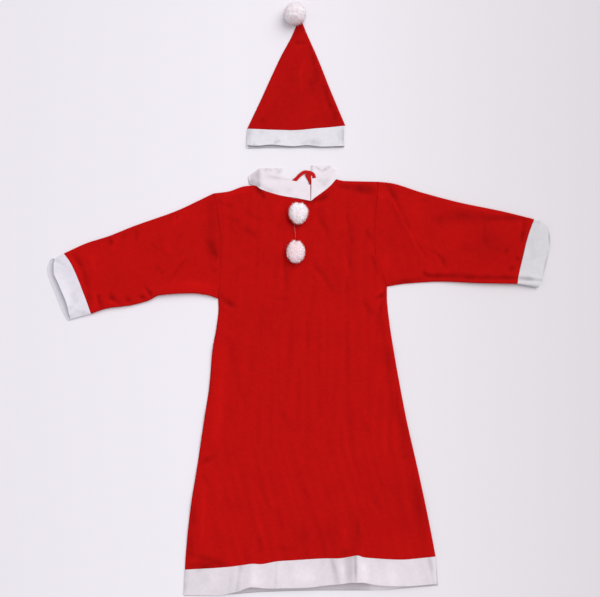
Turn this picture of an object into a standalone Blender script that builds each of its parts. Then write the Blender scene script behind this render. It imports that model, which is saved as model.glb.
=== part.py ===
"""A child's santa suit laid out flat: a red A-line gown with white trims, and its cone hat.

Metres, +Z up. The suit lies on Z = 0 with the middle of its outline at the origin, the hat
towards +Y and the gown's neck below it. The tables and the sizes below are in millimetres.
Every cloth piece is an open surface with a Solidify wall, and its outer side is the surface.
"""

from collections import namedtuple

import bmesh
import bpy
import numpy as np
from mathutils import Vector

MM = 0.001

# Where the middle of the suit's outline lies in the tables.
MIDDLE_X, MIDDLE_Y = 0.5, 2.9

# Walls, and the air between pieces.
FELT = 1.5
TRIM = 2.0
RIBBON = 0.8
SEAM_GAP = 0.3
ARMHOLE_GAP = 0.5  # more, because the sleeve's edge leans towards the gown over its folds
LAYER_GAP = 0.8

# A sleeve, a cuff and the hat's band are tubes pressed flat, with this radius at their folds.
SLEEVE_FOLD = 3.4
TRIM_FOLD = 3.6

# How far the upper layers rise between their edges, or sink between their folds, and over
# what distance from the edge.
GOWN_PUFF, GOWN_SHOULDER = 2.0, 70.0
HAT_PUFF, HAT_SHOULDER = 1.8, 40.0
SLEEVE_SINK, SLEEVE_SHOULDER = 0.8, 45.0
TRIM_SINK = 0.6

POMPOM_CORE = 17.0
POMPOM_REST_GAP = 0.3
LOCK_GAP = 1.1
LOCK_TAPER = 0.5
LOCK_CLEARANCE = 3.4  # from the middle of a lock's end to what lies below it
LOCK_CUT = 1.0  # a lock that would come nearer is cut back in steps of this
ICOSPHERE_LEVEL = 2

Point = namedtuple("Point", "x y")
Section = namedtuple("Section", "y left right")
Fold = namedtuple("Fold", "x0 y0 x1 y1 width rise")
Sleeve = namedtuple("Sleeve", "side top under folds cuff_seam cuff_edge cuff_back_edge")
Station = namedtuple("Station", "low low_z high high_z")
Pompom = namedtuple("Pompom", "name x y reach_x reach_y")
Colour = namedtuple("Colour", "name red green blue roughness")

RED_FELT = Colour("red felt", 0.50, 0.006, 0.005, 0.95)
WHITE_FELT = Colour("white felt", 0.80, 0.78, 0.82, 0.95)
FLUFF = Colour("white fluff", 0.86, 0.84, 0.87, 1.0)
RED_RIBBON = Colour("red ribbon", 0.48, 0.01, 0.008, 0.6)

# The gown's side seams and armholes: where its two edges lie at each height.
GOWN = [
    Section(-712, -301, 369),
    Section(-677, -299, 362),
    Section(-629, -295, 353),
    Section(-549, -286, 337),
    Section(-443, -269, 314),
    Section(-316, -250, 285),
    Section(-223, -236, 267),
    Section(-132, -228, 251),
    Section(-62, -216, 240),
    Section(-20, -212, 235),
    Section(7, -213, 233),
    Section(36, -211, 233),
    Section(89, -207, 214),
    Section(135, -206, 202),
    Section(188, -209, 201),
    Section(221, -213, 204),
    Section(252, -218, 206),
    Section(284, -226, 209),
    Section(315, -226, 210),
]
HEM_LEFT_Y, HEM_RIGHT_Y = -712, -677
SHOULDER_LEFT_Y, SHOULDER_RIGHT_Y = 284, 315
UNDERARM = 0.72  # where the armholes start, as a share of each side's height

# The neck's corners and the point of its V, between the two shoulder seams.
NECK_LEFT, NECK_POINT, NECK_RIGHT = Point(-113, 306), Point(32, 264), Point(100, 321)
SHOULDER_LEFT = [Point(-226, 284), Point(-187, 289), Point(-143, 303), NECK_LEFT]
SHOULDER_RIGHT = [NECK_RIGHT, Point(121, 317), Point(155, 316), Point(210, 315)]
NECK_LINE = [
    NECK_LEFT,
    Point(-101, 295),
    Point(-75, 286),
    Point(-42, 277),
    NECK_POINT,
    Point(45, 274),
    Point(84, 304),
    NECK_RIGHT,
]

# The seam above the hem's band, and the lower edges of its two layers.
HEM_SEAM = [
    Point(-301, -712),
    Point(-179, -706),
    Point(-120, -696),
    Point(-87, -695),
    Point(3, -687),
    Point(100, -682),
    Point(155, -675),
    Point(206, -682),
    Point(272, -685),
    Point(362, -677),
]
BACK_HEM_SEAM = [HEM_SEAM[0], HEM_SEAM[-1]]
HEM_FRONT_EDGE = [
    Point(-304, -780),
    Point(-219, -780),
    Point(-163, -771),
    Point(-123, -757),
    Point(-87, -762),
    Point(3, -761),
    Point(112, -749),
    Point(155, -745),
    Point(206, -753),
    Point(281, -756),
    Point(366, -750),
]
HEM_BACK_EDGE = [
    Point(-302, -783),
    Point(-220, -781),
    Point(-87, -772),
    Point(79, -768),
    Point(206, -768),
    Point(307, -760),
    Point(368, -755),
]

# The gown's largest folds, each a line with the width and the rise of its ridge or trough.
GOWN_FOLDS = [
    Fold(-132, -905, -112, -540, 22, 5.5),
    Fold(157, -905, 147, -500, 24, 7.5),
    Fold(118, -880, 108, -620, 16, 3.0),
    Fold(-66, -860, -66, -560, 16, 1.4),
    Fold(262, -900, 236, -420, 34, 1.6),
    Fold(-226, -900, -208, -420, 30, 1.4),
    Fold(-205, 260, -120, 170, 22, 1.4),
    Fold(196, 250, 120, 150, 26, 1.4),
    Fold(-212, -10, -130, 20, 18, 1.6),
    Fold(230, 10, 160, -6, 18, 1.6),
    Fold(60, 130, 40, -300, 60, 0.9),
]

# The back's opening at the neck, which the ribbon ties, and the seam below it.
BACK_SEAM_X_TOP, BACK_SEAM_X_HEM = -5, 30
BACK_OPENING_Y = 170
BACK_NECK_LEFT_X, BACK_NECK_RIGHT_X = -44, 33

LEFT_SLEEVE_TOP = [
    Point(-226, 284),
    Point(-261, 267),
    Point(-321, 239),
    Point(-438, 197),
    Point(-506, 170),
    Point(-560, 153),
    Point(-622, 125),
]
LEFT_SLEEVE_UNDER = [
    Point(-213, 5),
    Point(-240, 14),
    Point(-281, 19),
    Point(-367, 14),
    Point(-397, 0),
    Point(-447, -13),
    Point(-507, -21),
    Point(-549, -35),
]
LEFT_CUFF_SEAM = [
    Point(-549, -35),
    Point(-570, 21),
    Point(-591, 75),
    Point(-606, 104),
    Point(-622, 125),
]
LEFT_CUFF_EDGE = [
    Point(-604, -50),
    Point(-611, -14),
    Point(-635, 45),
    Point(-647, 77),
    Point(-646, 112),
]
LEFT_CUFF_BACK_EDGE = [
    Point(-612, -54),
    Point(-622, -36),
    Point(-646, 21),
    Point(-666, 84),
    Point(-661, 106),
]
RIGHT_SLEEVE_TOP = [
    Point(210, 315),
    Point(240, 312),
    Point(324, 287),
    Point(426, 260),
    Point(542, 236),
    Point(623, 216),
]
RIGHT_SLEEVE_UNDER = [
    Point(233, 37),
    Point(285, 45),
    Point(381, 50),
    Point(478, 46),
    Point(576, 44),
]
RIGHT_CUFF_SEAM = [
    Point(576, 44),
    Point(592, 111),
    Point(606, 168),
    Point(615, 195),
    Point(623, 216),
]
RIGHT_CUFF_EDGE = [
    Point(634, 38),
    Point(647, 65),
    Point(660, 119),
    Point(666, 159),
    Point(656, 200),
    Point(636, 212),
]
RIGHT_CUFF_BACK_EDGE = [
    Point(632, 32),
    Point(648, 62),
    Point(661, 118),
    Point(667, 160),
    Point(657, 201),
    Point(638, 213),
]

LEFT_SLEEVE_FOLDS = [
    Fold(-604, 140, -548, -20, 20, 1.2),
    Fold(-575, 140, -530, 30, 14, -0.8),
    Fold(-262, 40, -300, 120, 22, 0.9),
    Fold(-480, 0, -430, 90, 22, 0.8),
    Fold(-250, 250, -420, 150, 30, 0.8),
]
RIGHT_SLEEVE_FOLDS = [
    Fold(225, 330, 350, 85, 24, 1.4),
    Fold(350, 260, 560, 200, 26, -0.9),
    Fold(350, 190, 560, 120, 34, 1.0),
    Fold(236, 58, 600, 66, 14, 1.2),
]

SLEEVES = [
    Sleeve(
        "left",
        LEFT_SLEEVE_TOP,
        LEFT_SLEEVE_UNDER,
        LEFT_SLEEVE_FOLDS,
        LEFT_CUFF_SEAM,
        LEFT_CUFF_EDGE,
        LEFT_CUFF_BACK_EDGE,
    ),
    Sleeve(
        "right",
        RIGHT_SLEEVE_TOP,
        RIGHT_SLEEVE_UNDER,
        RIGHT_SLEEVE_FOLDS,
        RIGHT_CUFF_SEAM,
        RIGHT_CUFF_EDGE,
        RIGHT_CUFF_BACK_EDGE,
    ),
]

# The top of the collar's front where it is sewn to the gown.
COLLAR_SEAM_Z = 4.8

# The collar's upper edge from the centre front, its side folds, and its ends at the back.
COLLAR_LEFT_TOP = [Point(31, 306), Point(-16, 318), Point(-84, 329), Point(-103, 350)]
COLLAR_LEFT_FOLD = (Point(-131, 308), Point(-135, 338))
COLLAR_LEFT_BACK = (Point(-100, 309), Point(-98, 352), Point(-44, 312), Point(-44, 351))
COLLAR_RIGHT_TOP = [Point(32, 306), Point(64, 325), Point(92, 342)]
COLLAR_RIGHT_FOLD = (Point(104, 324), Point(101, 341))
COLLAR_RIGHT_BACK = (Point(80, 322), Point(80, 359), Point(33, 318), Point(33, 358))

RIBBON_WIDTH = 7.0
RIBBON_PATH = [
    Point(-58, 318),
    Point(-30, 316),
    Point(-12, 322),
    Point(2, 334),
    Point(15, 342),
    Point(29, 341),
    Point(42, 332),
    Point(52, 322),
]

# The hat's two edges. Above Y 736 its tip is under the pompom, and bends in beneath its core.
HAT_LEFT = [
    Point(-136, 455),
    Point(-106, 518),
    Point(-47, 645),
    Point(-12, 712),
    Point(-4, 736),
    Point(-15, 758),
]
HAT_RIGHT = [
    Point(123, 463),
    Point(83, 558),
    Point(48, 645),
    Point(18, 712),
    Point(8, 736),
    Point(-5, 758),
]
HAT_SEAM = [Point(-136, 455), Point(-60, 452), Point(-20, 451), Point(61, 457), Point(123, 463)]
HAT_BAND_EDGE = [
    Point(-139, 411),
    Point(-110, 409),
    Point(-74, 412),
    Point(-14, 408),
    Point(21, 411),
    Point(61, 407),
    Point(122, 409),
]
HAT_BAND_BACK_EDGE = [Point(-137, 403), Point(-74, 405), Point(3, 405), Point(121, 406)]
HAT_BAND_FOLDS = [Fold(-108, 380, -100, 520, 16, 1.6), Fold(40, 380, 36, 520, 20, 1.2)]
HAT_FOLDS = [
    Fold(-110, 440, 0, 650, 26, 0.9),
    Fold(80, 440, 20, 640, 22, 0.8),
    Fold(-30, 420, -10, 560, 18, -0.6),
]

POMPOMS = [
    Pompom("pompom_upper", -1, 232, 25.5, 27.5),
    Pompom("pompom_lower", -7, 129, 24.5, 30),
]
HAT_POMPOM = Pompom("hat_pompom", -10, 759, 31, 31)
HAT_TIP_HALF_WIDTH = 24
LOCK_LENGTHS = (1.0, 0.9, 0.97, 0.86, 0.93)
LOCK_LEANS = (1.5, -1.2, 0.6, -1.6)

# How finely the surfaces are cut.
GOWN_COLUMNS = (7, 10, 6, 9)
SKIRT_ROWS = 18
ARMHOLE_ROWS = 7
BACK_COLUMNS = 4
SLEEVE_RINGS = 13
CUFF_RINGS = 4
BAND_ROWS = 3
HAT_COLUMNS = 10
HAT_ROWS = 12
COLLAR_ROWS = 3


def clear_scene():
    for obj in list(bpy.data.objects):
        bpy.data.objects.remove(obj, do_unlink=True)


def make_collection(name):
    collection = bpy.data.collections.new(name)
    bpy.context.scene.collection.children.link(collection)
    return collection


def make_material(colour):
    material = bpy.data.materials.new(colour.name)
    material.use_nodes = True
    shader = material.node_tree.nodes["Principled BSDF"]
    shader.inputs["Base Color"].default_value = (colour.red, colour.green, colour.blue, 1)
    shader.inputs["Roughness"].default_value = colour.roughness
    shader.inputs["Metallic"].default_value = 0.0
    return material


def between(start, end, share):
    return (1 - share) * np.array(start, float) + share * np.array(end, float)


def eased(distance, reach):
    """0 at an edge, rising smoothly to 1 at this reach from it."""
    share = min(max(distance / reach, 0.0), 1.0)
    return 1 - (1 - share) ** 2


def steps(breaks, counts):
    """Shares from the first break to the last, with a count of steps in each stretch."""
    shares = [breaks[0]]
    for start, end, count in zip(breaks, breaks[1:], counts):
        shares += [start + (end - start) * (step + 1) / count for step in range(count)]
    return shares


def by_x(points):
    """A curve through points that run along X, read by its share of the way across."""
    xs, ys = [p.x for p in points], [p.y for p in points]
    rising = xs[-1] > xs[0]

    def curve(share):
        x = xs[0] + (xs[-1] - xs[0]) * share
        known = (xs, ys) if rising else (xs[::-1], ys[::-1])
        return np.array((x, np.interp(x, *known)))

    return curve


def by_y(points):
    """A curve through points that run up Y, read by its share of the way up."""
    ys, xs = [p.y for p in points], [p.x for p in points]

    def curve(share):
        y = ys[0] + (ys[-1] - ys[0]) * share
        return np.array((np.interp(y, ys, xs), y))

    return curve


def by_length(points):
    """A curve through points in any order, read by its share of their whole length."""
    knots = np.array(points, float)
    run = np.concatenate(([0], np.cumsum(np.linalg.norm(np.diff(knots, axis=0), axis=1))))

    def curve(share):
        at = share * run[-1]
        return np.array((np.interp(at, run, knots[:, 0]), np.interp(at, run, knots[:, 1])))

    return curve


def moved(curve, x=0.0, y=0.0):
    return lambda share: curve(share) + np.array((x, y))


def patch(bottom, top, left, right):
    """The flat piece between four edge curves, read by shares across (u) and up (v)."""
    corner_00, corner_10, corner_01, corner_11 = bottom(0), bottom(1), top(0), top(1)

    def point(u, v):
        ruled = (1 - v) * bottom(u) + v * top(u) + (1 - u) * left(v) + u * right(v)
        corners = (1 - u) * ((1 - v) * corner_00 + v * corner_01)
        corners += u * ((1 - v) * corner_10 + v * corner_11)
        return ruled - corners

    return point


def gown_edge_x(y, side):
    heights = [section.y for section in GOWN]
    return float(np.interp(y, heights, [getattr(section, side) for section in GOWN]))


def gown_side(side, low_y, high_y, inward=0.0):
    """One side of the gown from its hem to its shoulder, moved in by a little."""

    def curve(share):
        y = low_y + (high_y - low_y) * share
        return np.array((gown_edge_x(y, side) + inward, y))

    return curve


def folds(table, x, y):
    """The rise of all the folds in a table at one point: each fades at its ends and sides."""
    rise = 0.0
    for fold in table:
        along = np.array((fold.x1 - fold.x0, fold.y1 - fold.y0), float)
        length = np.linalg.norm(along)
        offset = np.array((x - fold.x0, y - fold.y0))
        share = float(offset @ along) / length**2
        if not 0 < share < 1:
            continue
        across = abs(float(offset[0] * along[1] - offset[1] * along[0])) / length
        rise += fold.rise * np.sin(np.pi * share) * np.exp(-((across / fold.width) ** 2))
    return rise


def gown_height(x, y):
    """The top of the gown's front above the table."""
    width_in = min(x - gown_edge_x(y, "left"), gown_edge_x(y, "right") - x)
    base = FELT + LAYER_GAP + FELT
    return base + GOWN_PUFF * eased(width_in, GOWN_SHOULDER) + folds(GOWN_FOLDS, x, y)


def hat_height(x, y):
    left, right = (np.interp(y, [p.y for p in edge], [p.x for p in edge]) for edge in (HAT_LEFT, HAT_RIGHT))
    width_in = min(x - left, right - x)
    base = FELT + LAYER_GAP + FELT
    return base + HAT_PUFF * eased(width_in, HAT_SHOULDER) + folds(HAT_FOLDS, x, y)


def finish_cloth(name, surface, wall, material, collection):
    """Makes the surface an object whose outer side faces up, with a wall of cloth inside it."""
    surface.faces.ensure_lookup_table()
    surface.normal_update()
    if surface.faces[0].normal.z < 0:
        bmesh.ops.reverse_faces(surface, faces=surface.faces)
    mesh = bpy.data.meshes.new(name)
    surface.to_mesh(mesh)
    surface.free()
    mesh.materials.append(material)
    mesh.shade_smooth()
    obj = bpy.data.objects.new(name, mesh)
    obj.location = (-MIDDLE_X * MM, -MIDDLE_Y * MM, 0)
    collection.objects.link(obj)
    cloth = obj.modifiers.new("Cloth wall", "SOLIDIFY")
    cloth.thickness = wall * MM
    cloth.offset = -1
    return obj


def loft(rows, closed):
    """A surface through rows of points, each row joined round where it is closed."""
    surface = bmesh.new()
    grid = [[surface.verts.new([value * MM for value in point]) for point in row] for row in rows]
    for lower, upper in zip(grid, grid[1:]):
        count = len(lower)
        for i in range(count if closed else count - 1):
            j = (i + 1) % count
            surface.faces.new((lower[i], lower[j], upper[j], upper[i]))
    return surface


def sheet_rows(plan, columns, rows, height):
    """Points of a flat piece, raised by its height at each."""
    made = []
    for v in rows:
        flat = [plan(u, v) for u in columns]
        made.append([(x, y, height(x, y)) for x, y in flat])
    return made


def tube_rows(upper, lower, rings, crossings, fold_radius, height):
    """Rings of a tube that lies flat: over its upper layer, round a fold, and back below."""
    made = []
    for s in rings:
        width = np.linalg.norm(upper(s, 1) - upper(s, 0))
        inset = fold_radius / width
        inner = [t for t in crossings if inset < t < 1 - inset]
        spread = [inset, *inner, 1 - inset]
        over = [(*upper(s, t), height(t * width, width, *upper(s, t))) for t in spread]
        under = [(*lower(s, t), 0.0) for t in reversed(spread)]
        high_fold = (*((upper(s, 1) + lower(s, 1)) / 2), fold_radius)
        low_fold = (*((upper(s, 0) + lower(s, 0)) / 2), fold_radius)
        made.append([*over, high_fold, *under, low_fold])
    return made


def tube_height(fold_radius, sink, table):
    def height(across, width, x, y):
        from_fold = min(across, width - across) - fold_radius
        return 2 * fold_radius - sink * eased(from_fold, SLEEVE_SHOULDER) + folds(table, x, y)

    return height


def gown_columns():
    """Columns of the gown, with one at each corner of the neck and one at its point."""
    left, right = SHOULDER_LEFT[0].x, SHOULDER_RIGHT[-1].x
    corners = [(p.x - left) / (right - left) for p in (NECK_LEFT, NECK_POINT, NECK_RIGHT)]
    return steps([0, *corners, 1], GOWN_COLUMNS), corners


def gown_rows():
    return steps([0, UNDERARM, 1], (SKIRT_ROWS, ARMHOLE_ROWS))


def make_gown_front(material, collection):
    plan = patch(
        by_x(HEM_SEAM),
        by_x(SHOULDER_LEFT + NECK_LINE[1:-1] + SHOULDER_RIGHT),
        gown_side("left", HEM_LEFT_Y, SHOULDER_LEFT_Y),
        gown_side("right", HEM_RIGHT_Y, SHOULDER_RIGHT_Y),
    )
    columns, _ = gown_columns()
    rows = sheet_rows(plan, columns, gown_rows(), gown_height)
    finish_cloth("gown_front", loft(rows, False), FELT, material, collection)


def make_gown_back(material, collection):
    """Two flat halves joined down the middle, parted at the neck by the opening."""
    (seam_left, seam_left_y), (seam_right, seam_right_y) = BACK_HEM_SEAM
    hem_middle = float(np.interp(BACK_SEAM_X_HEM, (seam_left, seam_right), (seam_left_y, seam_right_y)))
    neck = by_x([NECK_LEFT, NECK_RIGHT])
    width = NECK_RIGHT.x - NECK_LEFT.x

    def on_neck(x):
        return Point(x, float(neck((x - NECK_LEFT.x) / width)[1]))

    def middle(neck_x, gap):
        return by_y(
            [
                Point(BACK_SEAM_X_HEM + gap, hem_middle),
                Point(BACK_SEAM_X_TOP + gap, BACK_OPENING_Y),
                on_neck(neck_x),
            ]
        )

    half_gap = SEAM_GAP / 2
    left_plan = patch(
        by_x([BACK_HEM_SEAM[0], Point(BACK_SEAM_X_HEM - half_gap, hem_middle)]),
        by_x([*SHOULDER_LEFT, on_neck(BACK_NECK_LEFT_X)]),
        gown_side("left", HEM_LEFT_Y, SHOULDER_LEFT_Y),
        middle(BACK_NECK_LEFT_X, -half_gap),
    )
    right_plan = patch(
        by_x([Point(BACK_SEAM_X_HEM + half_gap, hem_middle), BACK_HEM_SEAM[-1]]),
        by_x([on_neck(BACK_NECK_RIGHT_X), *SHOULDER_RIGHT]),
        middle(BACK_NECK_RIGHT_X, half_gap),
        gown_side("right", HEM_RIGHT_Y, SHOULDER_RIGHT_Y),
    )
    columns = steps([0, 1], (BACK_COLUMNS,))
    for name, plan in (("gown_back_left", left_plan), ("gown_back_right", right_plan)):
        rows = sheet_rows(plan, columns, gown_rows(), lambda x, y: FELT)
        finish_cloth(name, loft(rows, False), FELT, material, collection)


def make_hem(material, collection):
    """The white band's front and back, each from the edge of the red piece above it."""
    columns, _ = gown_columns()
    layers = (
        ("hem_band_front", HEM_SEAM, HEM_FRONT_EDGE, lambda x, y: gown_height(x, y) + TRIM - FELT),
        ("hem_band_back", BACK_HEM_SEAM, HEM_BACK_EDGE, lambda x, y: TRIM),
    )
    for name, sewn_edge, edge, height in layers:
        seam = moved(by_x(sewn_edge), y=-SEAM_GAP)
        bottom = by_x(edge)
        left = by_y([Point(*bottom(0)), Point(*seam(0))])
        right = by_y([Point(*bottom(1)), Point(*seam(1))])
        plan = patch(bottom, seam, left, right)
        rows = sheet_rows(plan, columns, steps([0, 1], (BAND_ROWS,)), height)
        finish_cloth(name, loft(rows, False), TRIM, material, collection)


def armhole(side):
    """The armhole from the underarm to the shoulder, a gap off the gown."""
    low_y, high_y, gap = {
        "left": (HEM_LEFT_Y, SHOULDER_LEFT_Y, -ARMHOLE_GAP),
        "right": (HEM_RIGHT_Y, SHOULDER_RIGHT_Y, ARMHOLE_GAP),
    }[side]
    whole = gown_side(side, low_y, high_y, gap)
    return lambda share: whole(UNDERARM + (1 - UNDERARM) * share)


def make_sleeve(sleeve, material, collection):
    """A flattened tube: s runs from the armhole to the cuff, t from the underarm up."""
    start, end = armhole(sleeve.side), by_y(sleeve.cuff_seam)
    under = by_x([Point(*start(0)), *sleeve.under[1:]])
    top = by_x([Point(*start(1)), *sleeve.top[1:]])
    plan = patch(start, end, under, top)

    def layer(s, t):
        return plan(t, s)

    crossings = steps([0, 1], (ARMHOLE_ROWS,))
    height = tube_height(SLEEVE_FOLD, SLEEVE_SINK, sleeve.folds)
    rings = steps([0, 1], (SLEEVE_RINGS,))
    rows = tube_rows(layer, layer, rings, crossings, SLEEVE_FOLD, height)
    finish_cloth(f"sleeve_{sleeve.side}", loft(rows, True), FELT, material, collection)


def make_cuff(sleeve, material, collection):
    """A flattened ring of white felt whose back layer reaches past its front one."""
    gap = -SEAM_GAP if sleeve.side == "left" else SEAM_GAP
    start = moved(by_y(sleeve.cuff_seam), x=gap)

    def layer(mouth):
        end = by_y(mouth)
        under = by_x([Point(*start(0)), Point(*end(0))])
        over = by_x([Point(*start(1)), Point(*end(1))])
        plan = patch(start, end, under, over)
        return lambda s, t: plan(t, s)

    crossings = steps([0, 1], (ARMHOLE_ROWS,))
    height = tube_height(TRIM_FOLD, TRIM_SINK, [])
    rings = steps([0, 1], (CUFF_RINGS,))
    front, back = layer(sleeve.cuff_edge), layer(sleeve.cuff_back_edge)
    rows = tube_rows(front, back, rings, crossings, TRIM_FOLD, height)
    finish_cloth(f"cuff_{sleeve.side}", loft(rows, True), TRIM, material, collection)


def make_collar_half(name, shares, top_edge, fold, back, inward, material, collection):
    """One half of the stand: along the neck's front, round the side fold, and back behind."""
    neck = moved(by_x(NECK_LINE), y=SEAM_GAP)
    upper = by_length(top_edge)
    over = 2 * TRIM_FOLD
    neck_z = COLLAR_SEAM_Z
    stations = []
    for step, share in enumerate(shares):
        stations.append(Station(neck(share), neck_z, upper(step / (len(shares) - 1)), over))
    turn = np.array((inward * TRIM_FOLD, 0.0))
    fold_low, fold_high = (np.array(point, float) for point in fold)
    stations.append(Station(fold_low + turn, over, fold_high + turn, over))
    stations.append(Station(fold_low, TRIM_FOLD, fold_high, TRIM_FOLD))
    stations.append(Station(fold_low + turn, 0.0, fold_high + turn, 0.0))
    for low, high in zip(back[::2], back[1::2]):
        stations.append(Station(np.array(low, float), 0.0, np.array(high, float), 0.0))
    rows = []
    for station in stations:
        low, high = (*station.low, station.low_z), (*station.high, station.high_z)
        rows.append([tuple(between(low, high, share)) for share in steps([0, 1], (COLLAR_ROWS,))])
    finish_cloth(name, loft(rows, False), TRIM, material, collection)


def make_collar(material, collection):
    columns, corners = gown_columns()
    left, point, right = corners
    width = right - left
    half_gap = SEAM_GAP / 2 / (NECK_RIGHT.x - NECK_LEFT.x)
    to_left = [(u - left) / width for u in columns if left - 1e-9 < u < point - 1e-9][::-1]
    to_right = [(u - left) / width for u in columns if point + 1e-9 < u < right + 1e-9]
    middle = (point - left) / width
    make_collar_half(
        "collar_left",
        [middle - half_gap, *to_left],
        COLLAR_LEFT_TOP,
        COLLAR_LEFT_FOLD,
        COLLAR_LEFT_BACK,
        1,
        material,
        collection,
    )
    make_collar_half(
        "collar_right",
        [middle + half_gap, *to_right],
        COLLAR_RIGHT_TOP,
        COLLAR_RIGHT_FOLD,
        COLLAR_RIGHT_BACK,
        -1,
        material,
        collection,
    )


def make_ribbon(material, collection):
    """The neck's tie: a flat ribbon that lies on both back ends of the collar."""
    path = by_length(RIBBON_PATH)
    count = 3 * (len(RIBBON_PATH) - 1)
    top = TRIM + SEAM_GAP + RIBBON
    rows = []
    for step in range(count + 1):
        here, ahead = path(max(step - 0.5, 0) / count), path(min(step + 0.5, count) / count)
        along = (ahead - here) / np.linalg.norm(ahead - here)
        side = np.array((-along[1], along[0])) * RIBBON_WIDTH / 2
        middle = path(step / count)
        rows.append([(*(middle + side), top), (*(middle - side), top)])
    finish_cloth("neck_ribbon", loft(rows, False), RIBBON, material, collection)


def make_hat(red, white, collection):
    """Two red triangles, one on the other, above a flattened white ring."""
    plan = patch(
        by_x(HAT_SEAM),
        by_x([HAT_LEFT[-1], HAT_RIGHT[-1]]),
        by_y(HAT_LEFT),
        by_y(HAT_RIGHT),
    )
    columns = steps([0, 1], (HAT_COLUMNS,))
    rows = steps([0, 1], (HAT_ROWS,))
    front = sheet_rows(plan, columns, rows, hat_height)
    finish_cloth("hat_front", loft(front, False), FELT, red, collection)
    back = sheet_rows(plan, columns, steps([0, 1], (HAT_ROWS // 2,)), lambda x, y: FELT)
    finish_cloth("hat_back", loft(back, False), FELT, red, collection)

    seam = moved(by_x(HAT_SEAM), y=-SEAM_GAP)

    def layer(edge):
        end = by_x(edge)
        left = by_y([Point(*end(0)), Point(*seam(0))])
        right = by_y([Point(*end(1)), Point(*seam(1))])
        flat = patch(end, seam, left, right)
        return lambda s, t: flat(t, 1 - s)

    height = tube_height(TRIM_FOLD, TRIM_SINK, HAT_BAND_FOLDS)
    rings = steps([0, 1], (BAND_ROWS,))
    band = tube_rows(layer(HAT_BAND_EDGE), layer(HAT_BAND_BACK_EDGE), rings, columns, TRIM_FOLD, height)
    finish_cloth("hat_band", loft(band, True), TRIM, white, collection)


def make_pompom(pompom, seat, rest, material, collection):
    """A ball of locks: each face of the core is drawn out, and stops above what it rests on."""
    ball = bmesh.new()
    bmesh.ops.create_icosphere(ball, subdivisions=ICOSPHERE_LEVEL, radius=POMPOM_CORE)
    faces = list(ball.faces)
    bmesh.ops.inset_individual(ball, faces=faces, thickness=LOCK_GAP)
    roots = []
    centre_z = seat + POMPOM_REST_GAP + POMPOM_CORE
    for number, face in enumerate(faces):
        out = face.calc_center_median().normalized()
        full = Vector((out.x * pompom.reach_x, out.y * pompom.reach_y, out.z * pompom.reach_x))
        reach = full.length * LOCK_LENGTHS[number % len(LOCK_LENGTHS)]
        while reach > POMPOM_CORE:
            tip = (pompom.x + out.x * reach, pompom.y + out.y * reach)
            if centre_z + out.z * reach > rest(*tip) + LOCK_CLEARANCE:
                roots.append((face, out, reach, LOCK_LEANS[number % len(LOCK_LEANS)]))
                break
            reach -= LOCK_CUT
    drawn = bmesh.ops.extrude_discrete_faces(ball, faces=[face for face, *_ in roots])["faces"]
    for face, (_, out, reach, lean) in zip(drawn, roots):
        middle = face.calc_center_median()
        tip = out * reach + out.orthogonal().normalized() * lean
        for vert in face.verts:
            vert.co = tip + (vert.co - middle) * LOCK_TAPER
    mesh = bpy.data.meshes.new(pompom.name)
    for vert in ball.verts:
        vert.co *= MM
    ball.to_mesh(mesh)
    ball.free()
    mesh.materials.append(material)
    obj = bpy.data.objects.new(pompom.name, mesh)
    place = (pompom.x - MIDDLE_X, pompom.y - MIDDLE_Y, centre_z)
    obj.location = [value * MM for value in place]
    collection.objects.link(obj)


def hat_rest(x, y):
    """What the hat's pompom comes down on: the hat's tip, and the table round it."""
    over_tip = y < HAT_LEFT[-1].y + POMPOM_CORE / 2 and abs(x) < HAT_TIP_HALF_WIDTH
    return hat_height(x, min(y, HAT_LEFT[-1].y)) + 1 if over_tip else 0.0


def main():
    clear_scene()
    collection = make_collection("Santa suit")
    red, white, fluff, ribbon = (
        make_material(colour) for colour in (RED_FELT, WHITE_FELT, FLUFF, RED_RIBBON)
    )
    make_gown_back(red, collection)
    make_gown_front(red, collection)
    make_hem(white, collection)
    for sleeve in SLEEVES:
        make_sleeve(sleeve, red, collection)
        make_cuff(sleeve, white, collection)
    make_collar(white, collection)
    make_ribbon(ribbon, collection)
    make_hat(red, white, collection)
    for pompom in POMPOMS:
        seat = gown_height(pompom.x, pompom.y)
        make_pompom(pompom, seat, gown_height, fluff, collection)
    tip_top = hat_height(HAT_POMPOM.x, HAT_POMPOM.y)
    make_pompom(HAT_POMPOM, tip_top, hat_rest, fluff, collection)


main()
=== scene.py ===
# %% [markdown]
# # A santa suit laid out flat
# The suit is a child's red felt gown with white trims, and its cone hat. It lies face up on a
# pale table, seen from straight above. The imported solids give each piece's place. This lesson
# dresses them: every cut piece is made again as real cloth, with its folds, creases and seams.

from collections import namedtuple

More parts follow.
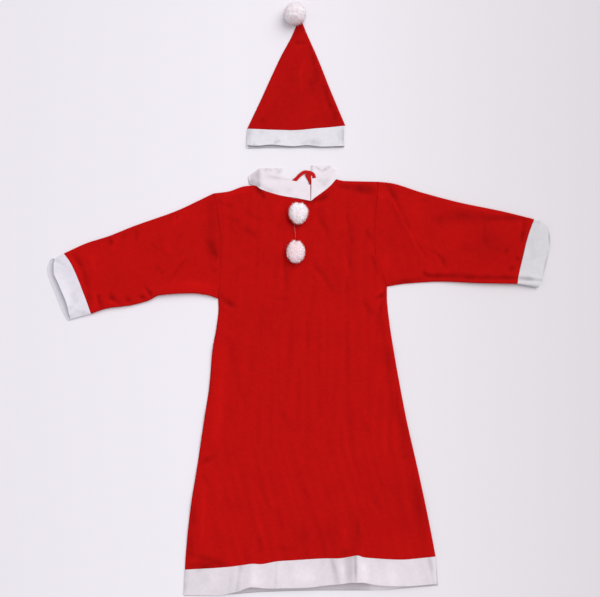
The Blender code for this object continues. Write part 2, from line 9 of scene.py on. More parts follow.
import bpy
import numpy as np
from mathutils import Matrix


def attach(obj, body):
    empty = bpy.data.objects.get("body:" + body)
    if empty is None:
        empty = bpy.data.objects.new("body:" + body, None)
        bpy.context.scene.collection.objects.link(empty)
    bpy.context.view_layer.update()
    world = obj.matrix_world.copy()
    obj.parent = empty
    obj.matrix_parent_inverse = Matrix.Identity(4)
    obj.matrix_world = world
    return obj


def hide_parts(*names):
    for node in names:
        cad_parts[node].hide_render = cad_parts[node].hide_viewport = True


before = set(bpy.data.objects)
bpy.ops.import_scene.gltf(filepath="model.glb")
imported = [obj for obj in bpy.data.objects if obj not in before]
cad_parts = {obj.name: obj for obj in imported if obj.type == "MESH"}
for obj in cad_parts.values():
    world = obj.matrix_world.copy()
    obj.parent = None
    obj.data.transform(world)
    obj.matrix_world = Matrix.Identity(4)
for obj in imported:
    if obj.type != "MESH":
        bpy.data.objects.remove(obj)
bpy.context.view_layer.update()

# %% [markdown]
# ## The cut of the suit
# A maker works from flat patterns, so the lesson does too. The tables hold points on the
# edges of each piece, in millimetres, as they lie in the picture. They are the same points
# that the solids were made from, so nothing has to be fitted afterwards. Walls are 1.5 mm for
# the red felt and 2 mm for the white, which is thicker.

# %% Tables of the edges
MM = 0.001
MIDDLE_X, MIDDLE_Y = 0.5, 2.9
FELT, TRIM, RIBBON = 1.5, 2.0, 0.8
LAYER_GAP = 0.8
SEAM_GAP = 0.05
SLEEVE_FOLD, TRIM_FOLD = 3.4, 3.6
GOWN_PUFF, GOWN_SHOULDER = 2.0, 70.0
HAT_PUFF, HAT_SHOULDER = 1.8, 40.0
SLEEVE_SINK, TUBE_SHOULDER, TRIM_SINK = 0.8, 45.0, 0.6

GOWN_EDGES = np.array(
    [  # height, left edge, right edge
        (-712, -301, 369), (-677, -299, 362), (-629, -295, 353), (-549, -286, 337),
        (-443, -269, 314), (-316, -250, 285), (-223, -236, 267), (-132, -228, 251),
        (-62, -216, 240), (-20, -212, 235), (7, -213, 233), (36, -211, 233),
        (89, -207, 214), (135, -206, 202), (188, -209, 201), (221, -213, 204),
        (252, -218, 206), (284, -226, 209), (315, -226, 210),
    ],
    float,
)
HEM_LEFT_Y, HEM_RIGHT_Y, SHOULDER_LEFT_Y, SHOULDER_RIGHT_Y = -712, -677, 284, 315
UNDERARM = 0.72

NECK_LEFT, NECK_POINT, NECK_RIGHT = (-113, 306), (32, 264), (100, 321)
SHOULDER_LEFT = [(-226, 284), (-187, 289), (-143, 303), NECK_LEFT]
NECK_LEFT_SIDE = [NECK_LEFT, (-101, 295), (-75, 286), (-42, 277), NECK_POINT]
NECK_RIGHT_SIDE = [NECK_POINT, (45, 274), (84, 304), NECK_RIGHT]
SHOULDER_RIGHT = [NECK_RIGHT, (121, 317), (155, 316), (210, 315)]
HEM_SEAM = [
    (-301, -712), (-200, -706), (-150, -700), (-120, -695), (-100, -697), (-60, -690), (3, -686),
    (50, -683), (100, -681), (130, -678), (155, -673), (172, -679), (206, -682), (272, -685), (362, -677),
]
BACK_HEM_SEAM = [HEM_SEAM[0], HEM_SEAM[-1]]
HEM_FRONT_EDGE = [
    (-304, -780), (-219, -780), (-163, -771), (-123, -757), (-87, -762), (3, -761),
    (112, -749), (155, -745), (206, -753), (281, -756), (366, -750),
]
HEM_BACK_EDGE = [
    (-302, -783), (-220, -781), (-87, -772), (79, -768), (206, -768), (307, -760), (368, -755),
]
BACK_SEAM_X_TOP, BACK_SEAM_X_HEM, BACK_OPENING_Y = -5, 30, 170
BACK_NECK_LEFT_X, BACK_NECK_RIGHT_X = -44, 33

Sleeve = namedtuple("Sleeve", "side top under seam edge back_edge")
LEFT_SLEEVE = Sleeve(
    "left",
    [(-226, 284), (-261, 267), (-321, 239), (-438, 197), (-506, 170), (-560, 153), (-622, 125)],
    [(-213, 5), (-240, 14), (-281, 19), (-367, 14), (-397, 0), (-447, -13), (-507, -21), (-549, -35)],
    [(-549, -35), (-570, 21), (-591, 75), (-606, 104), (-622, 125)],
    [(-604, -50), (-611, -14), (-635, 45), (-647, 77), (-646, 112)],
    [(-612, -54), (-622, -36), (-646, 21), (-666, 84), (-661, 106)],
)
RIGHT_SLEEVE = Sleeve(
    "right",
    [(210, 315), (240, 312), (324, 287), (426, 260), (542, 236), (623, 216)],
    [(233, 37), (285, 45), (381, 50), (478, 46), (576, 44)],
    [(576, 44), (592, 111), (606, 168), (615, 195), (623, 216)],
    [(634, 38), (647, 65), (660, 119), (666, 159), (656, 200), (636, 212)],
    [(632, 32), (648, 62), (661, 118), (667, 160), (657, 201), (638, 213)],
)

HAT_LEFT = [(-136, 455), (-106, 518), (-47, 645), (-12, 712), (-4, 736), (-15, 758)]
HAT_RIGHT = [(123, 463), (83, 558), (48, 645), (18, 712), (8, 736), (-5, 758)]
HAT_SEAM = [(-136, 455), (-60, 452), (-20, 451), (61, 457), (123, 463)]
HAT_BAND_EDGE = [(-139, 411), (-110, 409), (-74, 412), (-14, 408), (21, 411), (61, 407), (122, 409)]
HAT_BAND_BACK_EDGE = [(-137, 403), (-74, 405), (3, 405), (121, 406)]
print("tables read; the gown is", GOWN_EDGES[0, 2] - GOWN_EDGES[0, 1], "mm wide at its hem seam")

# %% [markdown]
# ## Smooth edges from few points
# A cut edge is a smooth line, with a corner only where two seams meet. Straight steps between
# table points would show as kinks. A plain spline would swing past its points instead. A
# monotone cubic does neither: its slope is chosen so that the curve never overshoots.

# %% Curves through points
def smooth_through(knots, values):
    knots, values = np.asarray(knots, float), np.asarray(values, float)
    step = np.diff(knots)
    slope = np.diff(values) / step
    tangent = np.zeros_like(values)
    tangent[0], tangent[-1] = slope[0], slope[-1]
    before, after = slope[:-1], slope[1:]
    same_way = before * after > 0
    near, far = 2 * step[1:] + step[:-1], step[1:] + 2 * step[:-1]
    safe_before, safe_after = np.where(same_way, before, 1), np.where(same_way, after, 1)
    tangent[1:-1] = np.where(same_way, (near + far) / (near / safe_before + far / safe_after), 0)

    def curve(at):
        at = np.clip(at, knots[0], knots[-1])
        i = np.clip(np.searchsorted(knots, at, side="right") - 1, 0, len(step) - 1)
        t, width = (at - knots[i]) / step[i], step[i]
        ends = (1 + 2 * t) * (1 - t) ** 2 * values[i] + t * t * (3 - 2 * t) * values[i + 1]
        return ends + width * t * (1 - t) * ((1 - t) * tangent[i] - t * tangent[i + 1])

    return curve


def by_axis(sections, axis):
    """A curve along one axis, smooth in each section, with a corner where two sections meet."""
    parts = [np.array(section, float) for section in sections]
    start, end = parts[0][0, axis], parts[-1][-1, axis]

    def curve(share):
        run = start + (end - start) * np.asarray(share, float)
        other = np.zeros_like(run)
        for part in parts:
            part = part if part[-1, axis] > part[0, axis] else part[::-1]
            knots, values = part[:, axis], part[:, 1 - axis]
            inside = (run >= knots[0] - 1e-6) & (run <= knots[-1] + 1e-6)
            other = np.where(inside, smooth_through(knots, values)(run), other)
        return np.stack((run, other) if axis == 0 else (other, run), -1)

    return curve


def through(table):
    """A curve from a table of two columns: where, and how much there."""
    return smooth_through(*np.array(table, float).T)


def by_x(*sections):
    return by_axis(sections, 0)


def by_y(*sections):
    return by_axis(sections, 1)


def by_length(points):
    knots = np.array(points, float)
    run = np.concatenate(([0], np.cumsum(np.linalg.norm(np.diff(knots, axis=0), axis=1))))
    paths = [smooth_through(run, knots[:, k]) for k in range(knots.shape[1])]
    return lambda share: np.stack([path(np.asarray(share) * run[-1]) for path in paths], -1)


def moved(curve, x=0.0, y=0.0):
    return lambda share: curve(share) + np.array((x, y))


def patch(bottom, top, left, right):
    """The flat piece between four edges: u runs across it and v up it, from 0 to 1."""

    def point(u, v):
        u, v = np.broadcast_arrays(np.asarray(u, float), np.asarray(v, float))
        across, up = u[..., None], v[..., None]
        ruled = (1 - up) * bottom(u) + up * top(u) + (1 - across) * left(v) + across * right(v)
        low = (1 - across) * bottom(0.0) + across * bottom(1.0)
        high = (1 - across) * top(0.0) + across * top(1.0)
        return ruled - (1 - up) * low - up * high

    return point


def between(bottom, top, by):
    """The flat piece between two edges, with straight ends."""
    ends = (by([tuple(bottom(end)), tuple(top(end))]) for end in (0.0, 1.0))
    return patch(bottom, top, *ends)


def gown_edge_x(y, side):
    return smooth_through(GOWN_EDGES[:, 0], GOWN_EDGES[:, {"left": 1, "right": 2}[side]])(y)


def gown_side(side, low_y, high_y, inward=0.0):
    def curve(share):
        y = low_y + (high_y - low_y) * np.asarray(share, float)
        return np.stack((gown_edge_x(y, side) + inward, y), -1)

    return curve


print("left edge at the waist:", round(float(gown_edge_x(-200, "left")), 1), "mm")

# %% [markdown]
# ## Folds, creases and rolled edges
# Cloth that lies flat still rises and sinks by a few millimetres, and soft light shows it. The
# big folds come from the solids. Creases are finer: each is a bowed line with a ridge, and a
# trough beside it, and its depth and width change along it. Where two pieces are sewn, both
# edges roll down into a groove. All of it is a height added to the flat pattern.

# %% Heights
Fold = namedtuple("Fold", "x0 y0 x1 y1 width rise")
Crease = namedtuple("Crease", "x0 y0 x1 y1 bow width rise trough", defaults=(0,))


def rows(kind, table):
    return [kind(*row) for row in table]


GOWN_FOLDS = rows(Fold, [
    (-132, -905, -112, -560, 20, 5.0), (153, -890, 150, -520, 15, 5.5), (112, -880, 106, -560, 22, 5.0),
    (-66, -860, -66, -560, 16, 1.6), (255, -880, 205, -430, 40, 2.4), (-208, -740, -196, -240, 12, -1.6),
    (-216, -440, -196, -60, 14, 1.6), (-262, -760, -240, -420, 13, 1.8), (160, 330, 215, 200, 14, -1.0),
    (-205, 260, -120, 170, 22, 1.2), (196, 250, 120, 150, 26, 1.2), (60, 130, 40, -300, 60, 1.0),
])
LEFT_SLEEVE_FOLDS = rows(Fold, [
    (-612, 150, -548, -30, 11, 2.0), (-560, 150, -530, 30, 16, 1.2), (-232, 300, -222, 70, 15, -2.6),
    (-340, 70, -232, 50, 18, 1.6), (-516, 16, -478, -24, 14, 2.4), (-490, 190, -490, 110, 12, 1.4),
    (-436, 40, -424, -20, 12, 1.4), (-480, 60, -430, 120, 26, 0.8), (-250, 250, -420, 150, 30, 0.8),
])
RIGHT_SLEEVE_FOLDS = rows(Fold, [
    (213, 330, 345, 80, 12, 2.0), (250, 330, 300, 150, 24, 1.4), (380, 262, 600, 240, 20, 2.6),
    (350, 170, 560, 120, 40, 1.0), (235, 46, 600, 50, 9, 2.2), (560, 230, 612, 150, 12, 1.4),
])
HAT_FOLDS = rows(Fold, [
    (-110, 440, 0, 650, 26, 1.0), (10, 700, 100, 430, 13, 1.4), (8, 660, 10, 520, 12, 1.3),
    (-30, 420, -10, 560, 18, -0.6),
])
HAT_BAND_FOLDS = rows(Fold, [(-108, 380, -100, 520, 16, 1.6), (40, 380, 36, 520, 20, 1.2)])

GOWN_CREASES = rows(Crease, [
    (-116, 310, -88, 268, 0, 7, -4.2), (-224, 266, -168, 246, 2, 5, -1.4),
    (-195, 226, -155, 206, 2, 6, -0.9), (-157, 206, -108, 164, 2, 7, -1.2),
    (-150, 246, -90, 208, 4, 6, -0.7), (-137, 300, -136, 250, 1, 4, -0.6),
    (-182, 206, -162, 168, 2, 5, -0.7), (-145, 135, -142, 110, 1, 6, -0.8),
    (-90, 140, -96, 98, 2, 5, -0.8), (-46, 245, -45, 180, 1, 7, -0.6),
    (-48, 190, -32, -10, -4, 5, -0.6, 0.3), (44, 240, 86, 150, -3, 7, -1.1, 0.3),
    (32, 108, 98, 8, -4, 8, -1.1, 0.3), (74, 120, 102, 52, -2, 6, -0.7),
    (130, 216, 138, 146, -3, 6, -1.5, 0.3), (137, 164, 138, 62, 3, 7, -1.3, 0.2),
    (128, 70, 126, 10, 1, 6, -0.9), (104, 190, 122, 160, 1, 5, -0.6), (178, 192, 201, 146, 2, 5, -1.3),
    (188, 122, 210, 66, -2, 6, -1.4), (8, 264, 84, 284, 8, 7, -3.4),
    (100, 302, 208, 289, -2, 10, -2.8, 0.1), (108, 316, 208, 309, 0, 6, 0.8),
    (-226, 276, -116, 298, 0, 13, 0.8), (-60, 262, -8, 170, 4, 18, 0.6),
    # The groove at the upper pompom's lower left is also painted dark, as its shadow, and the low ridge
    # left of the lower pompom is painted paler, against its shadow.
    (-32, 234, 5, 195, 12, 3.6, -2.6), (-46, 156, -34, 82, 4, 8, 0.8), (-66, 66, -28, 56, 2, 4, -0.6),
    (-74, 8, -24, 4, 2, 4, -0.8), (-210, 14, -160, -22, 3, 6, -1.8, 0.3),
    (236, 24, 196, 4, -2, 6, -2.0, 0.4), (226, 6, 206, -66, 2, 6, -1.4, 0.2),
    (168, 2, 206, -44, 3, 8, -1.4, 0.2), (212, -30, 250, -310, -5, 6, -1.0),
    (238, -120, 266, -330, -2, 4, -0.8), (248, -250, 294, -420, -3, 13, -1.0),
    (292, -400, 336, -690, -4, 10, -1.0), (240, -420, 300, -720, -10, 44, -0.5),
    (190, -580, -60, -690, 10, 46, -0.5), (-270, -510, -292, -710, 2, 8, -1.6),
    (-298, -704, -220, -706, 0, 8, -2.4), (-222, -110, -224, -400, -10, 13, 1.0),
    (-247, -450, -262, -690, 0, 7, 0.8), (128, -570, 122, -650, 2, 14, 0.5),
    (-264, -433, -214, -414, -2, 6, -1.5, 0.3), (-256, -458, -238, -486, 1, 5, -1.2),
    (304, -412, 268, -418, 1, 4, -1.0), (-306, -668, -176, -710, -2, 8, -1.8),
    (157, -710, 155, -540, 0, 8, -1.1), (-100, 0, -100, -170, 1, 5, -0.6),
    (-74, -30, -72, -110, 1, 5, -0.5), (-176, -100, -168, -210, 3, 8, -1.1, 0.3),
    (-160, -190, -146, -270, 2, 7, -0.7), (22, -10, 24, -150, 1, 6, -0.5),
    (124, -60, 130, -230, -3, 9, -0.5, 0.3), (130, -240, 146, -420, 3, 9, -0.5, 0.3),
    (62, -230, 46, -360, 3, 6, -0.5), (-46, -290, -14, -350, 2, 8, -0.7),
    (172, -320, 186, -352, 1, 6, -0.7), (178, -480, 226, -570, 2, 8, -0.8, 0.3),
    (-136, -430, -76, -570, -5, 7, -0.6, 0.3), (4, -480, 36, -536, 2, 7, -0.7),
    (-66, -540, -22, -640, 3, 7, -0.7, 0.2), (6, -580, 26, -700, 2, 13, -0.75),
    (-64, -658, -6, -662, 0, 12, -0.9), (62, -630, 66, -690, 0, 10, -0.7),
    (-100, -690, -108, -610, 2, 7, -1.2), (96, -672, 146, -662, 0, 11, -1.1),
    (209, 308, 203, 150, 0, 4, -1.1),
])
LEFT_SLEEVE_CREASES = rows(Crease, [
    (-600, 128, -562, 54, -4, 6, -1.8, 0.3), (-570, 76, -553, -20, -3, 8, -1.8, 0.2),
    (-500, 172, -497, 144, 0, 6, -2.0), (-462, 184, -460, 160, 1, 6, -0.9),
    (-430, 194, -427, 150, 2, 6, -1.1), (-319, 236, -324, 200, 1, 4, -0.9, 0.6),
    (-306, 188, -322, 150, 2, 5, -0.7), (-290, 116, -346, 44, 4, 4, -1.0, 0.5),
    (-380, 92, -356, 72, 2, 7, -1.1), (-410, 44, -384, 10, 2, 6, -2.2, 0.3),
    (-432, 18, -398, 4, 2, 5, -1.8, 0.3), (-466, 14, -432, -8, 2, 6, -1.7, 0.2),
    (-508, 18, -462, -10, 3, 9, -2.6, 0.2), (-532, 20, -517, -24, 3, 6, -2.6, 0.3),
    (-234, 270, -232, 90, 0, 13, -1.4), (-244, 166, -214, 104, -4, 9, -2.0),
    (-352, 42, -226, 34, -4, 13, 1.0), (-518, 8, -466, -18, 2, 9, 1.0), (-606, 118, -580, 50, -3, 6, 0.7),
    (-552, 128, -540, 40, -2, 8, 0.6), (-484, 168, -492, 126, 0, 8, 0.7),
    (-238, 92, -214, 72, 1, 5, -1.0), (-350, 168, -340, 120, 3, 9, 0.7, 0.4),
    (-394, 160, -372, 130, 2, 6, -0.7), (-288, 245, -367, 182, -6, 12, 0.6, 0.4),
])
RIGHT_SLEEVE_CREASES = rows(Crease, [
    (230, 313, 272, 232, -2, 6, -2.2), (266, 244, 342, 106, 3, 6, -1.6), (232, 286, 336, 98, -4, 6, 0.9),
    (214, 300, 226, 262, 0, 14, 0.8), (296, 282, 322, 190, -4, 22, 0.5), (226, 130, 240, 60, 0, 20, 0.6),
    (440, 190, 610, 100, 8, 58, -0.9), (346, 206, 450, 226, -4, 13, -1.3),
    (410, 226, 606, 220, 6, 11, -2.0), (346, 134, 390, 82, -9, 6, -1.6, 0.2),
    (310, 264, 352, 268, 1, 5, -0.6), (228, 46, 345, 63, 3, 5, -1.8), (325, 76, 350, 62, 1, 6, -1.8),
    (330, 64, 470, 62, -2, 7, -3.0), (430, 62, 590, 60, 0, 5, -2.9),
    (598, 220, 585, 150, -3, 6, -2.2, 0.2), (556, 150, 542, 118, -2, 7, -1.2),
    (578, 120, 579, 100, 0, 6, -1.4), (556, 90, 572, 76, 0, 7, -1.4), (524, 145, 530, 125, 1, 8, -0.8),
    (492, 210, 496, 140, 3, 8, -0.8, 0.3), (238, 182, 250, 150, 1, 5, -0.5),
    (414, 160, 470, 128, 5, 12, -0.6),
])
HAT_CREASES = rows(Crease, [
    (22, 640, 12, 545, 14, 5, 1.0), (-60, 620, -90, 500, 0, 16, 0.4), (26, 680, 40, 620, -2, 5, -1.5),
    (34, 634, 50, 564, -3, 7, -1.2), (60, 582, 76, 526, -2, 7, -1.2), (70, 544, 100, 486, 2, 7, -1.4),
    (98, 500, 90, 458, 1, 6, -1.2), (-14, 684, 24, 682, 1, 5, -1.4, 0.5), (-2, 740, 8, 706, 0, 5, -1.2),
    (-14, 616, -20, 570, 2, 10, -0.5), (-110, 473, -84, 478, 0, 7, -1.0),
    (-62, 530, -66, 486, 1, 7, -0.6), (36, 590, 30, 540, 2, 10, -0.9),
])
HEM_CREASES = rows(Crease, [
    (-142, -620, -166, -786, 0, 6, -1.8), (-58, -640, -62, -780, 0, 4, -0.9),
    (72, -620, 106, -760, 1, 6, -1.7), (127, -570, 134, -770, 1, 12, -1.8),
    (150, -600, 149, -780, 0, 4, -2.0), (338, -640, 358, -760, 0, 7, -1.2),
    (-272, -680, -244, -760, 2, 12, -0.7), (60, -660, 62, -780, 0, 9, -0.6),
    (-176, -690, -184, -780, 1, 8, -0.6), (-120, -700, -116, -760, 1, 10, 0.6),
    (20, -690, 14, -760, 1, 22, 0.5), (112, -680, 120, -740, 1, 7, 0.7),
    (172, -680, 178, -756, 1, 12, 0.6), (250, -684, 246, -760, 1, 22, 0.5),
    (-230, -715, -226, -770, 1, 16, 0.6), (-300, -700, -302, -790, 0, 6, -1.2),
])
LEFT_CUFF_CREASES = rows(Crease, [
    (-648, 114, -616, 92, 2, 5, -1.2), (-600, 24, -584, -8, 3, 9, -0.8),
    (-594, -26, -552, -37, 2, 6, -1.2), (-612, -16, -596, -22, 0, 6, -0.8),
    (-634, 80, -606, -30, -4, 12, 0.6),
])
RIGHT_CUFF_CREASES = rows(Crease, [
    (572, 61, 656, 52, 0, 4, -3.2), (614, 212, 640, 206, 0, 7, -1.2), (618, 170, 620, 100, 2, 8, -0.5),
    (640, 46, 666, 146, 0, 2.6, -1.6), (666, 130, 659, 194, 0, 2.6, -1.4),
])
HAT_BAND_CREASES = rows(Crease, [
    (-133, 490, -133, 380, 0, 6, -1.9), (-122, 414, -112, 406, 0, 4, -2.0),
    (2, 411, 62, 412, -6, 8, -1.4), (-76, 411, -46, 423, -1, 3.6, -1.4), (119, 472, 119, 400, 0, 6, -1.8),
    (106, 452, 110, 410, 1, 6, -0.8), (-100, 452, -96, 436, 0, 6, -0.7), (-36, 449, 20, 447, 0, 5, -0.6),
])
COLLAR_CREASES = rows(Crease, [
    (-92, 329, -16, 319, 1, 4, -1.2), (-92, 349, -68, 345, 0, 5, -1.6), (-62, 354, -48, 336, 0, 8, -1.3),
    (-111, 366, -109, 290, 0, 8, -1.5), (-126, 350, -122, 296, 0, 9, -1.4),
    (41, 357, 65, 342, 0, 3.2, -1.7), (60, 341, 86, 358, 0, 3.2, -2.2), (34, 364, 35, 338, 0, 3, -2.4),
    (-96, 296, -50, 284, 0, 8, -0.8), (40, 326, 78, 298, -2, 7, -1.0), (56, 318, 88, 322, 3, 6, -0.7),
    (-30, 300, -22, 280, 0, 8, -0.4),
])
# Painted shade where the collar gets little light, and painted light where it gets more, though it isn't
# creased there
COLLAR_SHADES = rows(Crease, [
    (-138, 314, -100, 303, 0, 6, -3.6), (-112, 312, -66, 284, 0, 6, -1.4),
    (-137, 350, -135, 316, 0, 4, 2.2),
])
BACK_CREASES = rows(Crease, [
    (-180, 240, -60, 90, 8, 12, 1.1), (150, 262, 52, 120, -6, 11, 1.0), (-196, 30, -96, -24, 4, 9, 1.2),
    (206, 10, 118, -60, -5, 10, 1.1), (-150, -60, -164, -270, -6, 10, 0.9),
    (-70, 40, -84, -190, 4, 9, 0.7), (96, -40, 124, -280, 5, 12, 1.0),
    (190, -190, 236, -420, -4, 11, 1.2), (-232, -420, -150, -450, 3, 8, 1.2),
    (-190, -470, -216, -730, 5, 13, 1.1), (-80, -520, -104, -760, -4, 10, 1.2),
    (80, -560, 96, -755, 3, 11, 1.1), (170, -600, 190, -755, -3, 9, 1.3),
    (250, -540, 296, -740, 4, 14, 1.0),
])
HAT_BACK_CREASES = rows(Crease, [
    (-80, 478, -30, 600, 4, 8, 1.0), (70, 474, 28, 610, -5, 9, 1.1), (-4, 470, 6, 560, 2, 10, 0.7),
    (-22, 640, 16, 652, 1, 5, 0.7),
])
LEFT_SLEEVE_LIFT = rows(Fold, [(-430, 12, -196, 12, 26, 10.0), (-580, -40, -400, 0, 20, 5.0)])
RIGHT_SLEEVE_LIFT = rows(Fold, [(360, 46, 740, 40, 20, 9.0)])
WOBBLE_WAVES = 9
Wobble = namedtuple("Wobble", "size height stretch")  # stretch: how much longer than wide a wave is
BROAD, FINE = Wobble(110.0, 0.4, 1.0), Wobble(26.0, 0.13, 1.4)
STREAKS, PINSTRIPES = Wobble(38.0, 0.42, 5.0), Wobble(22.0, 0.13, 8.0)
EDGE_RADIUS = 2.2


def eased(distance, reach):
    return 1 - (1 - np.clip(distance / reach, 0, 1)) ** 2


def ramp(value, low, high):
    share = np.clip((value - low) / (high - low), 0, 1)
    return share * share * (3 - 2 * share)


def along_and_across(line, x, y):
    run_x, run_y = line.x1 - line.x0, line.y1 - line.y0
    length = np.hypot(run_x, run_y)
    share = ((x - line.x0) * run_x + (y - line.y0) * run_y) / length**2
    across = ((x - line.x0) * run_y - (y - line.y0) * run_x) / length
    return share, across


def folds(table, x, y):
    rise = np.zeros_like(x)
    for fold in table:
        share, across = along_and_across(fold, x, y)
        swell = np.sin(np.pi * np.clip(share, 0, 1))
        rise += fold.rise * swell * np.exp(-((across / fold.width) ** 2))
    return rise


def creases(table, x, y):
    """Each row is uneven in depth and width along its line, in its own way."""
    rise = np.zeros_like(x)
    for number, crease in enumerate(table):
        share, across = along_and_across(crease, x, y)
        inside = np.clip(share, 0, 1)
        across = across - crease.bow * 4 * inside * (1 - inside)
        uneven = 1 + 0.3 * np.sin(7.1 * inside + number) + 0.15 * np.sin(17 * inside + 2.3 * number)
        width = crease.width * (1 + 0.25 * np.sin(5.3 * inside + 1.7 * number))
        ridge = np.exp(-((across / width) ** 2))
        dip = np.exp(-(((across - 1.7 * width) / (0.8 * width)) ** 2))
        swell = np.sin(np.pi * inside) ** 0.8
        rise += crease.rise * uneven * swell * (ridge - crease.trough * dip)
    return rise


def back_rise(table, x, y):
    """How far the back stands off the table: its creases only rise, because it rests there."""
    return np.clip(creases(table, x, y), 0, 2)


def wobble(x, y, kind, seed):
    chance = np.random.default_rng(seed)
    total = np.zeros_like(x)
    for _ in range(WOBBLE_WAVES):
        turn, phase = chance.uniform(0, 2 * np.pi, 2)
        pace = 2 * np.pi / (kind.size * chance.uniform(0.7, 1.5))
        total += np.sin(pace * (x * np.cos(turn) + y / kind.stretch * np.sin(turn)) + phase)
    return total * kind.height / np.sqrt(WOBBLE_WAVES / 2)


def leaning(x, y):
    """Sideways place on the gown, for streaks that run down it and lean more towards the hem."""
    return x + 0.3 * np.minimum(y + 380, 0)


def unevenness(x, y, seed, streaks=0.0):
    waves = wobble(x, y, BROAD, seed) + wobble(x, y, FINE, seed + 1)
    return waves + streaks * wobble(leaning(x, y), y, STREAKS, seed + 2)


def rolled(distance, drop, radius=EDGE_RADIUS):
    """How far an edge has rolled down at this distance from it."""
    return drop * (1 - np.sqrt(1 - (1 - np.clip(distance / radius, 0, 1)) ** 2))


middle_rise = creases(GOWN_CREASES[:1], np.array([-101.0]), np.array([287.0]))
print("the neck crease at its middle:", round(float(middle_rise[0]), 2), "mm")

# %% [markdown]
# ## Cloth from a grid of points
# Each piece starts as a grid, so that its faces are even four-sided cells. The cells are
# narrow along the edges, where the cloth rolls over. A Solidify modifier then gives the cloth
# its wall on the inner side, and it is applied so that the piece is one closed shell.

# %% Grids and walls
EDGE_STEPS = (0.0, 0.35, 0.8, 1.4, 2.3)
CELL = 3.2
pieces = {}


def spread(length, cell=CELL, extra=()):
    """Shares of a length, in even cells with narrow ones at both ends."""
    near = np.array(EDGE_STEPS) / length
    inner_start = (EDGE_STEPS[-1] + cell / 2) / length
    count = max(2, round(length / cell) - 1)
    inner = np.linspace(inner_start, 1 - inner_start, count)
    return np.unique(np.concatenate((near, inner, 1 - near, np.asarray(extra, float))))


def lengths(points, axis):
    return np.linalg.norm(np.diff(points, axis=axis), axis=2).sum(axis)


def laid_out(plan, cell=CELL, extra_columns=()):
    """The flat piece as a grid, with each point's distance to its edges."""
    middle = np.linspace(0, 1, 40)
    width = lengths(plan(middle[None, :], np.array([[0.0], [0.5], [1.0]])), 1).max()
    height = lengths(plan(np.array([[0.0, 0.5, 1.0]]), middle[:, None]), 0).max()
    u, v = np.meshgrid(spread(width, cell, extra_columns), spread(height, cell))
    flat = plan(u, v)
    run, rise = lengths(flat, 1)[:, None], lengths(flat, 0)[None, :]
    off = {"left": u * run, "right": (1 - u) * run, "bottom": v * rise, "top": (1 - v) * rise, "v": v}
    off["side"] = np.minimum(off["left"], off["right"])
    return flat, off


def placed(points):
    """Points in table millimetres, as metres from the suit's middle."""
    return (points - (MIDDLE_X, MIDDLE_Y, 0)) * MM


def linked(obj):
    bpy.context.scene.collection.objects.link(obj)
    return obj


def made_plain(obj):
    """Gives the object the plain mesh that its modifiers, or its curve's settings, result in."""
    mesh = bpy.data.meshes.new_from_object(obj.evaluated_get(bpy.context.evaluated_depsgraph_get()))
    name, old = obj.name, obj.data
    obj.modifiers.clear()
    if obj.type == "CURVE":
        bpy.data.objects.remove(obj)
        obj = linked(bpy.data.objects.new(name, mesh))
    else:
        obj.data = mesh
        bpy.data.meshes.remove(old)
    mesh.name = name
    return obj


def walled(name, points, wall, closed=False, pressed=None):
    """Makes a grid of points, in table millimetres, into a closed shell of cloth.

    pressed is the shade painted at each point: creases, hollows and places under other cloth are painted
    darker, and ridges, where it is negative, are painted paler, as light would fall on them.
    """
    count = points[..., 0].size
    index = np.arange(count).reshape(points.shape[:2])
    if closed:
        index = np.concatenate((index, index[:, :1]), 1)
    corners = (index[:-1, :-1], index[:-1, 1:], index[1:, 1:], index[1:, :-1])
    quads = np.stack(corners, -1).reshape(-1, 4)
    first = [points.reshape(-1, 3)[corner] for corner in quads[len(quads) // 2 if not closed else 2]]
    if np.cross(first[1] - first[0], first[3] - first[0])[2] < 0:
        quads = quads[:, ::-1]
    mesh = bpy.data.meshes.new(name)
    mesh.from_pydata(placed(points.reshape(-1, 3)).tolist(), [], quads.tolist())
    depth = np.zeros(count) if pressed is None else np.clip(pressed.reshape(-1), -1, 3)
    mesh.attributes.new("pressed", "FLOAT", "POINT").data.foreach_set("value", depth)
    obj = linked(bpy.data.objects.new(name, mesh))
    cloth = obj.modifiers.new("Cloth wall", "SOLIDIFY")
    cloth.thickness, cloth.offset = wall * MM, -1
    pieces[name] = made_plain(obj)
    pieces[name].data.shade_smooth()


def with_height(flat, height):
    return np.concatenate((flat, np.broadcast_to(height, flat.shape[:2])[..., None]), 2)


# %% [markdown]
# ## The gown's front and back
# The front is one A-shaped piece with a low V at the neck. It lies on the back, touching it
# at the side seams and standing a few millimetres off it between them. Close to the armholes
# it rises to meet the sleeves, which are thicker because they are tubes.

# %% Gown front
GOWN_CELL = 4.1
ARMHOLE_LIFT, ARMHOLE_REACH, ARMHOLE_BLEND = 1.5, 24.0, 0.012
NECK_BLEND, SEAM_REACH, SHOWN_AT_SEAM = 8, 10, 0.35
BACK_CLEARANCE, HEM_CLEARANCE = 0.1, 0.2
GOWN_SEED, STRIPES_SEED = 11, 17
SIDE_ROLL, SEAM_ROLL, ARMHOLE_ROLL = (2.4, 5.0), (0.9, 1.8), (0.7, 2.6)
SEAM_RIDGE, RIDGE_IN, RIDGE_WIDTH = 4.6, 7.0, 19.0
RIDGE_LOW_Y, RIDGE_HIGH_Y, RIDGE_FADE_LOW, RIDGE_FADE_HIGH = -640.0, 0.0, 120.0, 80.0
LIFT_START_Y, LIFT_FULL_Y = -660.0, -765.0
free_edge_lift = through([  # where along the hem, and how far its free edge stands up there
    (-304, 0), (-240, 2), (-190, 7), (-135, 15), (-105, 12), (-60, 13), (0, 14), (60, 15), (112, 19),
    (155, 25), (190, 19), (230, 12), (300, 9), (345, 7), (366, 3),
])


def hem_lift(x, y):
    return free_edge_lift(x) * ramp(-y, -LIFT_START_Y, -LIFT_FULL_Y) ** 2


